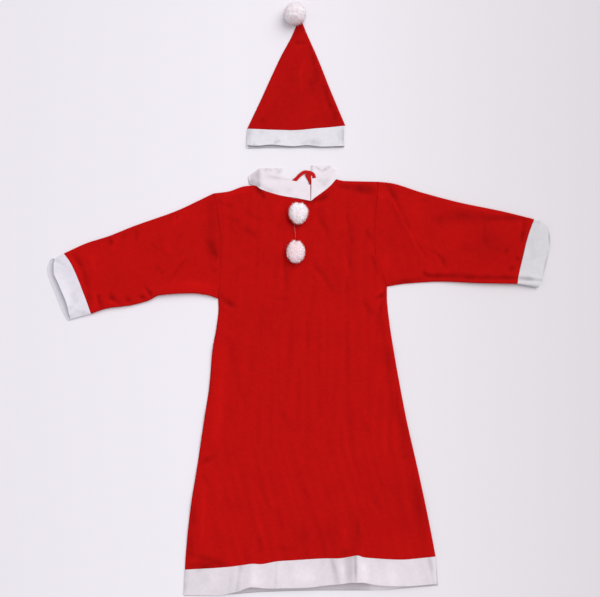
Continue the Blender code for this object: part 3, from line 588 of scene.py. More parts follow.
def side_ridge(x, y):
    """The seam allowance inside the side seam lifts the cloth beside it."""
    width_in = np.minimum(x - gown_edge_x(y, "left"), gown_edge_x(y, "right") - x)
    fades = ramp(y, RIDGE_LOW_Y - RIDGE_FADE_LOW, RIDGE_LOW_Y)
    fades = fades * ramp(-y, -RIDGE_HIGH_Y, -RIDGE_HIGH_Y + RIDGE_FADE_HIGH)
    uneven = 0.8 + 0.2 * np.sin(y / 31) + 0.15 * np.sin(y / 12.7)
    return SEAM_RIDGE * uneven * fades * np.exp(-(((width_in - RIDGE_IN) / RIDGE_WIDTH) ** 2))


def gown_base(x, y):
    """The top of the gown's front above the table, without creases."""
    width_in = np.minimum(x - gown_edge_x(y, "left"), gown_edge_x(y, "right") - x)
    rise = GOWN_PUFF * eased(width_in, GOWN_SHOULDER) + side_ridge(x, y)
    return FELT + LAYER_GAP + FELT + rise + hem_lift(x, y) + folds(GOWN_FOLDS, x, y)


def near_seams(distances):
    """How much of the creases shows: none at the very edge of a piece."""
    ends = np.minimum(distances["bottom"], distances["top"])
    at_ends = SHOWN_AT_SEAM + (1 - SHOWN_AT_SEAM) * ramp(ends, 0, SEAM_REACH)
    return ramp(distances["side"], 0, SEAM_REACH) * at_ends


gown_plan = patch(
    by_x(HEM_SEAM),
    by_x(SHOULDER_LEFT, NECK_LEFT_SIDE, NECK_RIGHT_SIDE, SHOULDER_RIGHT),
    gown_side("left", HEM_LEFT_Y, SHOULDER_LEFT_Y),
    gown_side("right", HEM_RIGHT_Y, SHOULDER_RIGHT_Y),
)
gown_width = SHOULDER_RIGHT[-1][0] - SHOULDER_LEFT[0][0]
neck_shares = [(p[0] - SHOULDER_LEFT[0][0]) / gown_width for p in (NECK_LEFT, NECK_POINT, NECK_RIGHT)]
flat, off = laid_out(gown_plan, cell=GOWN_CELL, extra_columns=neck_shares)
x, y = flat[..., 0], flat[..., 1]
side = off["side"]
at_armhole = ramp(off["v"], UNDERARM - ARMHOLE_BLEND, UNDERARM + ARMHOLE_BLEND)
at_neck = ramp(x, NECK_LEFT[0] - NECK_BLEND, NECK_LEFT[0] + NECK_BLEND)
at_neck = at_neck * ramp(-x, -NECK_RIGHT[0] - NECK_BLEND, -NECK_RIGHT[0] + NECK_BLEND)
relief = creases(GOWN_CREASES, x, y)
height = gown_base(x, y) + near_seams(off) * (relief + unevenness(x, y, GOWN_SEED, streaks=1.0))
height += at_armhole * ARMHOLE_LIFT * np.exp(-side / ARMHOLE_REACH) * ramp(off["top"], 0, 30)
height -= np.where(at_armhole > 0.5, rolled(side, *ARMHOLE_ROLL), rolled(side, *SIDE_ROLL))
height -= rolled(off["bottom"], *SEAM_ROLL)
height -= np.where(at_neck > 0.5, rolled(off["top"], *SEAM_ROLL), rolled(off["top"], *SIDE_ROLL))
height = np.maximum(height, 2 * FELT + BACK_CLEARANCE + back_rise(BACK_CREASES, x, y))
gown_points = with_height(flat, height)
# Painted shade: the colour is darkened in the creases and along thin streaks down the gown, and paled on
# the ridges, as painted light.
stripes = wobble(leaning(x, y), y, PINSTRIPES, STRIPES_SEED)
walled("gown_front_cloth", gown_points, FELT, pressed=stripes - relief)
print("gown front:", gown_points.shape, "highest", round(float(height.max()), 1), "mm")

# %% Gown back, in two halves
def on_neck(x):
    start, end = np.array(NECK_LEFT, float), np.array(NECK_RIGHT, float)
    return x, float(start[1] + (end[1] - start[1]) * (x - start[0]) / (end[0] - start[0]))


hem_ends = np.array(BACK_HEM_SEAM, float)
hem_middle = float(np.interp(BACK_SEAM_X_HEM, hem_ends[:, 0], hem_ends[:, 1]))


def back_middle(neck_x, shift):
    seam = [(BACK_SEAM_X_HEM + shift, hem_middle), (BACK_SEAM_X_TOP + shift, BACK_OPENING_Y)]
    return by_y(seam, [seam[-1], on_neck(neck_x)])


back_plans = {
    "gown_back_left": patch(
        by_x([BACK_HEM_SEAM[0], (BACK_SEAM_X_HEM - SEAM_GAP, hem_middle)]),
        by_x(SHOULDER_LEFT, [NECK_LEFT, on_neck(BACK_NECK_LEFT_X)]),
        gown_side("left", HEM_LEFT_Y, SHOULDER_LEFT_Y),
        back_middle(BACK_NECK_LEFT_X, -SEAM_GAP),
    ),
    "gown_back_right": patch(
        by_x([(BACK_SEAM_X_HEM + SEAM_GAP, hem_middle), BACK_HEM_SEAM[-1]]),
        by_x([on_neck(BACK_NECK_RIGHT_X), NECK_RIGHT], SHOULDER_RIGHT),
        back_middle(BACK_NECK_RIGHT_X, SEAM_GAP),
        gown_side("right", HEM_RIGHT_Y, SHOULDER_RIGHT_Y),
    ),
}
BACK_CELL, SIDE_TURN_UP = 6.5, (0.6, 4.0)
for name, plan in back_plans.items():
    flat, off = laid_out(plan, cell=BACK_CELL)
    outer = off["left"] if "left" in name else off["right"]
    relief = back_rise(BACK_CREASES, flat[..., 0], flat[..., 1])
    points = with_height(flat, FELT + rolled(outer, *SIDE_TURN_UP) + relief)
    # Painted shade: the back's creases are painted darker as well.
    walled(f"{name}_cloth", points, FELT, pressed=relief)
    print(name, flat.shape)

# %% [markdown]
# ## The hem's white band
# The band is sewn edge to edge with the red cloth and follows its folds, so its lower edge
# stands in waves off the table. The back's band reaches a little further down than the
# front's, because the front's edge is drawn up by its folds.

# %% Hem bands
FREE_EDGE_ROLL = (0.6, 1.6)
DRAWN_UP = 0.34  # a raised edge looks lower from above, so it is drawn up by this share of its lift
# Painted shade on the back band: hem_shade darkens it under the front's lifted edge, and EDGE_SHADE along
# its own lower edge.
EDGE_SHADE, EDGE_SHADE_IN, EDGE_SHADE_OUT = 1.2, 0.8, 3.4
hem_shade = through([  # where along the hem, and how deep the shade is under the front's free edge
    (-304, 0), (-200, 0.4), (-168, 1.7), (-60, 1.7), (0, 1.6), (100, 1.6), (150, 2.0), (180, 1.4),
    (198, 0), (245, 0), (290, 1.2), (340, 1.6), (368, 1.6),
])
hem_plans = {}
for name, seam_points, edge_points in (
    ("hem_band_front", HEM_SEAM, HEM_FRONT_EDGE),
    ("hem_band_back", BACK_HEM_SEAM, HEM_BACK_EDGE),
):
    seam, bottom = moved(by_x(seam_points), y=-SEAM_GAP), by_x(edge_points)
    plan = hem_plans[name] = between(bottom, seam, by_y)
    flat, off = laid_out(plan, extra_columns=neck_shares)
    x, y = flat[..., 0], flat[..., 1]
    side = off["side"]
    if "front" in name:
        relief = creases(HEM_CREASES, x, y)
        pleats = relief + creases(GOWN_CREASES, x, y)
        height = gown_base(x, y) + TRIM - FELT
        height += near_seams(off) * (pleats + unevenness(x, y, GOWN_SEED, streaks=1.0))
        height -= rolled(side, *SIDE_ROLL) + rolled(off["bottom"], *FREE_EDGE_ROLL)
        height -= rolled(off["top"], *SEAM_ROLL)
        height = np.maximum(height, 2 * TRIM + HEM_CLEARANCE + back_rise(BACK_CREASES, x, y))
        flat[..., 1] += DRAWN_UP * hem_lift(x, y)
        # Painted shade in the hem's creases.
        pressed = -relief
    else:
        height = TRIM + rolled(side, *SIDE_TURN_UP) + back_rise(BACK_CREASES, x, y)
        at_edge = 1 - ramp(off["bottom"], EDGE_SHADE_IN, EDGE_SHADE_OUT)
        pressed = hem_shade(x) + EDGE_SHADE * at_edge
    walled(f"{name}_cloth", with_height(flat, height), TRIM, pressed=pressed)
    print(name, flat.shape)

# %% [markdown]
# ## Sleeves and cuffs
# A sleeve is one piece of felt sewn into a tube, and it lies flattened. Its two folds are round, and its
# layers stand apart a little. A ring of points goes over the upper layer, down round one fold, back below
# and up round the other. The rings follow each other to the cuff.

# %% Flattened tubes
ARC_STEPS = 8
SLEEVE_DROP = 0.9
MOUTH_REACH, MOUTH_FADE = 14.0, (-2, 12)
# How far a tube's end opens, how much shade is painted inside it, and whether that painted shade fades
# towards the end
Mouth = namedtuple("Mouth", "lift shade fades")
LEFT_MOUTH, RIGHT_MOUTH, HAT_MOUTH = Mouth(6.0, 1.7, True), Mouth(1.0, 1.0, True), Mouth(2.0, 2.6, False)
FOLD_BLEND, MOUTH_BLEND = 9, 14  # how far from a tube's fold its creases, and its mouth, begin
LAYER_CLEARANCE = 0.4
HIDDEN_SHARE = 0.3  # a crease of the lower layer, against one of the upper layer, which it mirrors


def tube_grid(upper, lower, length, cell, fold, top_of):
    """Rings of a flattened tube. top_of gives the upper layer's height at its points."""
    middle = np.linspace(0, 1, 40)
    width = lengths(upper(np.array([[0.0], [0.5], [1.0]]), middle[None, :]), 1).max()
    s = spread(length, cell)
    count = max(4, round(width / cell))
    widths = np.linalg.norm(upper(s, np.ones_like(s)) - upper(s, np.zeros_like(s)), axis=1)
    inset = (fold / widths)[:, None]
    t = inset + (1 - 2 * inset) * np.linspace(0, 1, count)[None, :]
    s_grid = np.broadcast_to(s[:, None], t.shape)
    over, under = upper(s_grid, t), lower(s_grid, t[:, ::-1])
    off = {"across": np.minimum(t, 1 - t) * widths[:, None]}
    off.update(start=s_grid * length, end=(1 - s_grid) * length)
    top, bottom, relief, below = top_of(over[..., 0], over[..., 1], off)
    over, under = with_height(over, top), with_height(under, bottom)

    def arc(high, low, outermost):
        """Half a turn from the upper layer's edge to the lower one's."""
        turn = np.linspace(np.pi / 2, -np.pi / 2, ARC_STEPS + 1)[1:-1][None, :, None]
        share = (1 - np.sin(turn)) / 2
        inner = (1 - share) * high[:, None, :2] + share * low[:, None, :2]
        edge = inner + np.cos(turn) * (outermost[:, None, :] - (high[:, None, :2] + low[:, None, :2]) / 2)
        level = (1 - share) * high[:, None, 2:] + share * low[:, None, 2:]
        return np.concatenate((edge, level), 2)

    far = (upper(s, np.ones_like(s)) + lower(s, np.ones_like(s))) / 2
    near = (upper(s, np.zeros_like(s)) + lower(s, np.zeros_like(s))) / 2
    far_arc = arc(over[:, -1], under[:, 0], far)
    near_arc = arc(over[:, 0], under[:, -1], near)[:, ::-1]
    points = np.concatenate((over, far_arc, under, near_arc), 1)
    pressed = np.zeros(points.shape[:2])
    pressed[:, : over.shape[1]] = -relief
    first_below = over.shape[1] + far_arc.shape[1]
    # Painted shade on the lower layer's inner face: inside a mouth, and in the creases that mirror those
    # above.
    pressed[:, first_below : first_below + under.shape[1]] = below
    return points, over, pressed


def sleeve_top(fold_table, crease_table, lift_table, seed):
    def top_of(x, y, off):
        from_fold = off["across"] - SLEEVE_FOLD
        inside = ramp(from_fold, 0, FOLD_BLEND)
        height = 2 * SLEEVE_FOLD - SLEEVE_SINK * eased(from_fold, TUBE_SHOULDER)
        relief = creases(crease_table, x, y)
        height += (folds(fold_table, x, y) + relief + unevenness(x, y, seed)) * inside
        height -= SLEEVE_DROP * np.exp(-off["start"] / ARMHOLE_REACH)
        hidden = HIDDEN_SHARE * np.clip(-relief, 0, 3) * inside
        height = np.maximum(height, 2 * FELT + LAYER_CLEARANCE + hidden[:, ::-1])
        height -= rolled(off["start"], *ARMHOLE_ROLL) + rolled(off["end"], *SEAM_ROLL)
        lift = folds(lift_table, x, y)
        # hidden is also painted shade on the lower layer, where it mirrors a crease above.
        return height + lift, lift[:, ::-1] + hidden, relief, hidden

    return top_of


def trim_top(fold_table, crease_table, lift_table, mouth, seed):
    def top_of(x, y, off):
        from_fold = off["across"] - TRIM_FOLD
        relief = creases(crease_table, x, y)
        uneven = folds(fold_table, x, y) + relief + unevenness(x, y, seed)
        height = 2 * TRIM_FOLD - TRIM_SINK * eased(from_fold, TUBE_SHOULDER)
        height += uneven * ramp(from_fold, 0, FOLD_BLEND)
        height += mouth.lift * np.exp(-off["end"] / MOUTH_REACH) * ramp(from_fold, 0, MOUTH_BLEND)
        height -= rolled(off["start"], *SEAM_ROLL) + rolled(off["end"], *FREE_EDGE_ROLL)
        lift = folds(lift_table, x, y)
        # below is the shade painted inside the mouth.
        below = mouth.shade * (ramp(off["end"], *MOUTH_FADE) if mouth.fades else 1)
        return np.maximum(height, 2 * TRIM + LAYER_CLEARANCE) + lift, lift[:, ::-1], relief, below

    return top_of


tube_plans, seam_lines = {}, {}
for sleeve, fold_table, crease_table, cuff_table, lift_table, mouth, seed in (
    (LEFT_SLEEVE, LEFT_SLEEVE_FOLDS, LEFT_SLEEVE_CREASES, LEFT_CUFF_CREASES,
     LEFT_SLEEVE_LIFT, LEFT_MOUTH, 21),
    (RIGHT_SLEEVE, RIGHT_SLEEVE_FOLDS, RIGHT_SLEEVE_CREASES, RIGHT_CUFF_CREASES,
     RIGHT_SLEEVE_LIFT, RIGHT_MOUTH, 31),
):
    outward = -1 if sleeve.side == "left" else 1
    low_y, high_y = (HEM_LEFT_Y, SHOULDER_LEFT_Y) if outward < 0 else (HEM_RIGHT_Y, SHOULDER_RIGHT_Y)
    whole_side = gown_side(sleeve.side, low_y, high_y, outward * SEAM_GAP)
    armhole = lambda share, side=whole_side: side(UNDERARM + (1 - UNDERARM) * np.asarray(share))
    end = by_y(sleeve.seam)
    under = by_x([tuple(armhole(0.0)), *sleeve.under[1:]])
    top = by_x([tuple(armhole(1.0)), *sleeve.top[1:]])
    flat_sleeve = patch(armhole, end, under, top)
    layer = lambda s, t, plan=flat_sleeve: plan(t, s)
    tube_plans[f"sleeve_{sleeve.side}"] = layer
    length = float(np.linalg.norm(end(0.5) - armhole(0.5)))
    top_of = sleeve_top(fold_table, crease_table, lift_table, seed)
    points, over, pressed = tube_grid(layer, layer, length, CELL, SLEEVE_FOLD, top_of)
    walled(f"sleeve_{sleeve.side}_cloth", points, FELT, closed=True, pressed=pressed)
    seam_lines[f"armhole_{sleeve.side}"] = over[0]
    print("sleeve", sleeve.side, points.shape)

    start = moved(by_y(sleeve.seam), x=outward * SEAM_GAP)

    def cuff_layer(edge_points, start=start):
        flat = between(start, by_y(edge_points), by_x)
        return lambda s, t: flat(t, s)

    front, back = cuff_layer(sleeve.edge), cuff_layer(sleeve.back_edge)
    tube_plans[f"cuff_{sleeve.side}"] = back
    length = float(np.linalg.norm(front(1.0, 0.5) - front(0.0, 0.5)))
    top_of = trim_top([], cuff_table, lift_table, mouth, seed + 4)
    points, over, pressed = tube_grid(front, back, length, CELL, TRIM_FOLD, top_of)
    walled(f"cuff_{sleeve.side}_cloth", points, TRIM, closed=True, pressed=pressed)
    seam_lines[f"cuff_{sleeve.side}"] = over[0]
    print("cuff", sleeve.side, points.shape)

# %% [markdown]
# ## The collar
# The collar is a low white stand in two halves, which meet in a seam at the centre front. Each
# half runs along the neck, turns down at the side and comes back behind, where it ends at the
# opening. It is lofted through stations, each a line from the neck edge to the upper edge.

# %% Collar halves
Station = namedtuple("Station", "x0 y0 z0 x1 y1 z1")
COLLAR_STEP, COLLAR_HEIGHT, ROW_STEP = 2.5, 45.0, 3.4
NECK_Z, FRONT_Z, COLLAR_SEED = 4.9, (3.0, 6.0), 41
COLLAR_UNEVEN, COLLAR_RELIEF = 0.8, 0.7
COLLAR_LEFT = rows(Station, [
    (31.2, 264.3, NECK_Z, 30.8, 306, 7.2), (-5, 271.4, NECK_Z, -10, 316, 7.6),
    (-42, 277.3, NECK_Z, -44, 324.6, 8.0), (-72, 285.0, NECK_Z + 0.4, -70, 331.5, 8.6),
    (-94, 292.5, 6.0, -90, 338, 9.6), (-103, 296.5, 6.8, -102, 350, 12.0),
    (-110, 302, 5.6, -109, 345, 8.0), (-125, 307.0, 3.2, -123, 337, 3.6),
    (-132, 309, 2.0, -135, 328, 2.1), (-127, 309, 0.0, -127, 334, 0.0), (-100, 309, 0.0, -98, 352, 0.0),
    (-72, 311, 0.0, -72, 352, 0.3), (-42, 312, 0.0, -42, 352, 0.0),
])
COLLAR_RIGHT = rows(Station, [
    (32.6, 264.3, NECK_Z, 33.8, 322, 7.2), (45, 274.3, NECK_Z, 47, 324, 7.6),
    (66, 288.7, NECK_Z, 66, 330, 7.9), (88, 308.6, NECK_Z, 86, 338, 7.6),
    (99.5, 321.3, 5.6, 96, 343.5, 7.0), (104, 323.5, 3.0, 102, 344, 3.4), (100, 323, 0.4, 98, 347, 0.4),
    (80, 322, 0.0, 80, 359, 0.0), (56, 320, 0.0, 56, 360, 0.0), (33, 318, 0.0, 33, 358, 0.0),
])
collar_grids = {}
for name, stations in (("collar_left", COLLAR_LEFT), ("collar_right", COLLAR_RIGHT)):
    table = np.array(stations, float)
    middles = (table[:, :3] + table[:, 3:]) / 2
    run = np.concatenate(([0], np.cumsum(np.linalg.norm(np.diff(middles, axis=0), axis=1))))
    shares = spread(run[-1], COLLAR_STEP) * run[-1]
    low, high = (
        np.stack([smooth_through(run, table[:, k])(shares) for k in columns], -1)
        for columns in ((0, 1, 2), (3, 4, 5))
    )
    up = spread(COLLAR_HEIGHT, ROW_STEP)[:, None, None]
    points = (1 - up) * low[None] + up * high[None]
    on_front = ramp(points[..., 2], *FRONT_Z)
    x, y = points[..., 0], points[..., 1]
    relief = creases(COLLAR_CREASES, x, y)
    uneven = COLLAR_UNEVEN * unevenness(x, y, COLLAR_SEED) + COLLAR_RELIEF * relief
    points[..., 2] += on_front * uneven
    collar_grids[name] = points
    # Painted shade in the collar's creases and in its hollows from COLLAR_SHADES, and painted light where
    # those are negative.
    walled(f"{name}_cloth", points, TRIM, pressed=-creases(COLLAR_SHADES, x, y) - relief)
    print(name, points.shape)

# %% [markdown]
# ## The ribbon
# A narrow red ribbon ties the opening at the back of the neck. It lies on the table in a
# shallow arch and shows between the two ends of the collar. A strip of points follows its
# path, and it tips a little as it turns, as a stiff ribbon does.

# %% Ribbon
RIBBON_TIP, TAIL_TIP = 0.5, 0.2
RIBBON_WIDTHS, TAIL_WIDTHS = (8.5, 9.5), (17.0, 3.5)
RIBBON_LEVEL, TAIL_LEVEL = TRIM + 0.3, FELT + 0.1
RIBBON_PATH = [(-42, 311), (-26, 311), (-8, 321.5), (5, 334), (17, 340.5), (29, 339), (39, 333), (41, 325)]
RIBBON_TAIL_PATH = [(24, 336), (27, 326), (29.5, 317), (31, 306)]


def ribbon_strip(path_points, widths, level, tip):
    """Rows of points along a path: widths are at its two ends, and tip lifts one edge."""
    path, shares = by_length(path_points), np.linspace(0, 1, 60)
    ahead = path(np.minimum(shares + 0.01, 1)) - path(np.maximum(shares - 0.01, 0))
    ahead /= np.linalg.norm(ahead, axis=1)[:, None]
    sideways = np.stack((-ahead[:, 1], ahead[:, 0]), -1)
    width = np.interp(shares, (0, 1), widths)[:, None]
    strips = []
    for offset in np.linspace(-0.5, 0.5, 7):
        height = level + RIBBON + tip * np.sin(np.pi * shares) * (0.5 + offset)
        strips.append(with_height(path(shares)[None] + sideways * offset * width, height[None])[0])
    return np.array(strips)


walled("neck_ribbon_cloth", ribbon_strip(RIBBON_PATH, RIBBON_WIDTHS, RIBBON_LEVEL, RIBBON_TIP), RIBBON)
walled("neck_ribbon_tail", ribbon_strip(RIBBON_TAIL_PATH, TAIL_WIDTHS, TAIL_LEVEL, TAIL_TIP), RIBBON)
print("ribbon", RIBBON_PATH[0], "to", RIBBON_PATH[-1])

# %% [markdown]
# ## The thread between the pompoms
# The two pompoms are sewn on with one white thread, which runs from knot to knot on the cloth.
# A short tube along four points is enough for it.

# %% Thread
THREAD_PATH = [(-9, 214), (-11, 196), (-9, 178), (-10, 148)]
THREAD_RADIUS, THREAD_HEIGHT = 0.1, 0.9


def path_curve(name, lines):
    """A curve object that runs from point to point of each line, in table millimetres."""
    curve = bpy.data.curves.new(name, "CURVE")
    curve.dimensions = "3D"
    for line in lines:
        spline = curve.splines.new("POLY")
        spline.points.add(len(line) - 1)
        for point, at in zip(spline.points, placed(line)):
            point.co = (*at, 1)
    return linked(bpy.data.objects.new(name, curve))


thread_line = by_length(THREAD_PATH)(np.linspace(0, 1, 14))
thread_z = gown_base(thread_line[:, 0], thread_line[:, 1]) + THREAD_HEIGHT
thread = path_curve("pompom_thread", [np.column_stack((thread_line, thread_z))])
thread.data.bevel_depth, thread.data.bevel_resolution = THREAD_RADIUS * MM, 1
pompom_thread = pieces["pompom_thread"] = made_plain(thread)
print("thread:", len(pompom_thread.data.polygons), "faces")

# %% [markdown]
# ## The hat
# The hat is a cone of two red triangles on a white ring. Lying flat, its front rises between
# its two edge seams, as the gown's does. The band is a flattened tube like the cuffs.

# %% Hat
HAT_RIDGE, HAT_RIDGE_IN, HAT_RIDGE_WIDTH, HAT_RIDGE_FADE = 2.0, 7, 9, (-700, -640)
HAT_BLEND, HAT_SEED, BAND_SEED = 8, 51, 61
HAT_BAND_HEIGHT, HAT_CELL, HAT_BACK_CELL = 46.0, 3.0, 5.0
hat_left_x, hat_right_x = (through([(y, x) for x, y in edge]) for edge in (HAT_LEFT, HAT_RIGHT))


def hat_base(x, y):
    left, right = hat_left_x(y), hat_right_x(y)
    puff = HAT_PUFF * eased(np.minimum(x - left, right - x), HAT_SHOULDER)
    ridge = HAT_RIDGE * np.exp(-(((right - x - HAT_RIDGE_IN) / HAT_RIDGE_WIDTH) ** 2))
    ridge = ridge * ramp(-y, *HAT_RIDGE_FADE)
    return FELT + LAYER_GAP + FELT + puff + ridge + folds(HAT_FOLDS, x, y)


hat_plan = patch(by_x(HAT_SEAM), by_x([HAT_LEFT[-1], HAT_RIGHT[-1]]), by_y(HAT_LEFT), by_y(HAT_RIGHT))
flat, off = laid_out(hat_plan, cell=HAT_CELL)
x, y = flat[..., 0], flat[..., 1]
side = off["side"]
relief = creases(HAT_CREASES, x, y)
height = hat_base(x, y) + ramp(side, 0, HAT_BLEND) * (relief + unevenness(x, y, HAT_SEED))
height -= rolled(side, *SIDE_ROLL) + rolled(off["bottom"], *SEAM_ROLL)
height = np.maximum(height, 2 * FELT + BACK_CLEARANCE + back_rise(HAT_BACK_CREASES, x, y))
# Painted shade: the hat's creases are painted darker, on the front and on the back.
walled("hat_front_cloth", with_height(flat, height), FELT, pressed=-relief)
flat, off = laid_out(hat_plan, cell=HAT_BACK_CELL)
side = off["side"]
relief = back_rise(HAT_BACK_CREASES, flat[..., 0], flat[..., 1])
points = with_height(flat, FELT + rolled(side, *SIDE_TURN_UP) + relief)
walled("hat_back_cloth", points, FELT, pressed=relief)

hat_seam = moved(by_x(HAT_SEAM), y=-SEAM_GAP)


def band_layer(edge_points):
    flat = between(by_x(edge_points), hat_seam, by_y)
    return lambda s, t: flat(t, 1 - s)


band_front, band_back = band_layer(HAT_BAND_EDGE), band_layer(HAT_BAND_BACK_EDGE)
band_top = trim_top(HAT_BAND_FOLDS, HAT_BAND_CREASES, [], HAT_MOUTH, BAND_SEED)
points, over, pressed = tube_grid(band_front, band_back, HAT_BAND_HEIGHT, CELL, TRIM_FOLD, band_top)
walled("hat_band_cloth", points, TRIM, closed=True, pressed=pressed)
tube_plans["hat_band"], seam_lines["hat"] = band_back, over[0]
print("hat band", points.shape)

# %% [markdown]
# ## Felt, ribbon and fluff
# Felt has no weave: it is matted wool or polyester, with a short nap that scatters light. The
# nap's shade and height come from one shader group, used by every felt with its own values.
# Numbers that are the same all over a piece are set on the shader itself.

# %% Shader groups
def feed(tree, socket, value):
    """Links a node's input to another node's output, or sets its value."""
    if isinstance(value, bpy.types.NodeSocket):
        tree.links.new(value, socket)
    elif value is not None:
        socket.default_value = value


def node(tree, kind, settings=(), **inputs):
    """Adds a node: settings are its own properties, and the rest are its inputs by name."""
    made = tree.nodes.new(kind)
    for key, value in dict(settings).items():
        setattr(made, key, value)
    for key, value in inputs.items():
        label = key.replace("_", " ")
        feed(tree, next(s for s in made.inputs if s.name == label and s.enabled), value)
    return made


def math_node(tree, operation, *values):
    made = node(tree, "ShaderNodeMath", {"operation": operation})
    for socket, value in zip(made.inputs, values):
        feed(tree, socket, value)
    return made.outputs[0]


def vector_math(tree, operation, *values, scale=None):
    made = node(tree, "ShaderNodeVectorMath", {"operation": operation})
    for socket, value in zip(made.inputs, values):
        feed(tree, socket, value)
    if scale is not None:
        feed(tree, made.inputs["Scale"], scale)
    return made.outputs["Value" if operation == "LENGTH" else "Vector"]


def noise(tree, where, scale, detail, distortion=0.0):
    made = node(
        tree, "ShaderNodeTexNoise", Vector=where, Scale=scale, Detail=detail, Distortion=distortion
    )
    return made.outputs["Fac"]


def new_tree(name, kind, inputs, outputs):
    """A node group. Each input and output has a name, a kind of socket and a value, if any."""
    tree = bpy.data.node_groups.new(name, kind)
    for way, sockets in (("INPUT", inputs), ("OUTPUT", outputs)):
        for label, socket_kind, value in sockets:
            socket = tree.interface.new_socket(label, in_out=way, socket_type="NodeSocket" + socket_kind)
            if value is not None:
                socket.default_value = value
    return tree, tree.nodes.new("NodeGroupInput").outputs, tree.nodes.new("NodeGroupOutput").inputs


nap, given, taken = new_tree(
    "Felt nap",
    "ShaderNodeTree",
    [
        ("Fibre Scale", "Float", 520.0), ("Patch Scale", "Float", 16.0),
        ("Fibre Shade", "Float", 0.5), ("Patch Shade", "Float", 0.5),
    ],
    [("Shade", "Float", None), ("Height", "Float", None)],
)


def around_zero(value, amount):
    return math_node(nap, "MULTIPLY", math_node(nap, "SUBTRACT", value, 0.5), given[amount])


place = node(nap, "ShaderNodeTexCoord").outputs["Object"]
fibre = noise(nap, place, given["Fibre Scale"], 3.0, 1.6)
patches = noise(nap, place, given["Patch Scale"], 4.0, 0.4)
tufts = noise(nap, place, math_node(nap, "MULTIPLY", given["Fibre Scale"], 0.22), 2.0)
fine, broad = around_zero(fibre, "Fibre Shade"), around_zero(patches, "Patch Shade")
middle = math_node(nap, "ADD", around_zero(tufts, "Fibre Shade"), 0.5)
feed(nap, taken["Shade"], math_node(nap, "ADD", math_node(nap, "ADD", fine, broad), middle))
low, high = math_node(nap, "MULTIPLY", fibre, 0.6), math_node(nap, "MULTIPLY", tufts, 0.4)
feed(nap, taken["Height"], math_node(nap, "ADD", low, high))
print("nap:", len(nap.nodes), "nodes")

# %% Materials
# Painted shade: the felt's colour is darkened by this share for each unit of the pressed attribute, and
# paled where that is negative.
PAINTED_SHADE_PER_MM = 0.13  # the share of its light that felt loses for each millimetre of depth
Nap = namedtuple("Nap", "fibre_scale fibre_shade patch_shade depth sheen")
RED_NAP, HAT_NAP = Nap(520, 0.5, 0.3, 0.0003, 0.0), Nap(520, 0.5, 0.4, 0.0003, 0.0)
WHITE_NAP, YARN_NAP = Nap(460, 0.24, 0.2, 0.0002, 0.05), Nap(420, 0.4, 0.3, 0.0004, 0.0)
RIBBON_NAP = Nap(1400, 0.5, 0.3, 0.0001, 0.1)


def set_inputs(made, **values):
    for key, value in values.items():
        made.inputs[key.replace("_", " ")].default_value = value


def felt_material(name, dark, light, kind, **more):
    """Felt between two colours. More are values of the shader other than felt's."""
    material = bpy.data.materials.new(name)
    material.use_nodes = True
    tree = material.node_tree
    shader = tree.nodes["Principled BSDF"]
    set_inputs(shader, Roughness=0.95, Specular_IOR_Level=0.04)
    set_inputs(shader, Sheen_Weight=kind.sheen, Sheen_Roughness=0.6, **more)
    group = node(tree, "ShaderNodeGroup", {"node_tree": nap})
    set_inputs(
        group, Fibre_Scale=kind.fibre_scale, Fibre_Shade=kind.fibre_shade, Patch_Shade=kind.patch_shade
    )
    mix = node(tree, "ShaderNodeMix", {"data_type": "RGBA"})
    set_inputs(mix, A=(*dark, 1), B=(*light, 1))
    feed(tree, mix.inputs["Factor"], group.outputs["Shade"])
    # Painted shade and painted light: the colour is scaled down by the pressed attribute, and up where it
    # is negative.
    pressed = node(tree, "ShaderNodeAttribute", {"attribute_name": "pressed"}).outputs["Fac"]
    kept = math_node(tree, "SUBTRACT", 1.0, math_node(tree, "MULTIPLY", pressed, PAINTED_SHADE_PER_MM))
    shaded = vector_math(tree, "SCALE", mix.outputs["Result"], scale=kept)
    feed(tree, shader.inputs["Base Color"], vector_math(tree, "MINIMUM", shaded, (1.0, 1.0, 1.0)))
    bump = node(tree, "ShaderNodeBump", Strength=1.0, Distance=kind.depth, Height=group.outputs["Height"])
    feed(tree, shader.inputs["Normal"], bump.outputs["Normal"])
    return material


red_felt = felt_material("Red felt", (0.37, 0.003, 0.003), (0.56, 0.006, 0.005), RED_NAP)
hat_felt = felt_material("Hat felt", (0.34, 0.003, 0.003), (0.52, 0.006, 0.005), HAT_NAP)
white_felt = felt_material("White felt", (0.52, 0.47, 0.51), (0.945, 0.87, 0.915), WHITE_NAP)
left_trim = felt_material("Left cuff felt", (0.505, 0.48, 0.535), (0.92, 0.88, 0.956), WHITE_NAP)
# A greyer copy of the white felt: partly the cuff's own tone, and partly painted shade for the dimmer light
# on the right.
right_trim_painted_shade = felt_material("Right cuff felt", (0.47, 0.455, 0.485), (0.86, 0.83, 0.865), WHITE_NAP)
hat_trim = felt_material("Hat trim felt", (0.55, 0.52, 0.57), (0.97, 0.95, 1.0), WHITE_NAP)
collar_felt = felt_material("Collar felt", (0.69, 0.59, 0.65), (1.0, 0.955, 0.99), WHITE_NAP)
glow = {"Subsurface_Weight": 1.0, "Subsurface_Radius": (0.017, 0.014, 0.014), "Subsurface_Scale": 1.0}
# The fluff's pink tint is partly painted red light thrown back from the felt.
fluff = felt_material("White fluff", (0.93, 0.78, 0.81), (1.0, 0.91, 0.95), YARN_NAP, **glow)
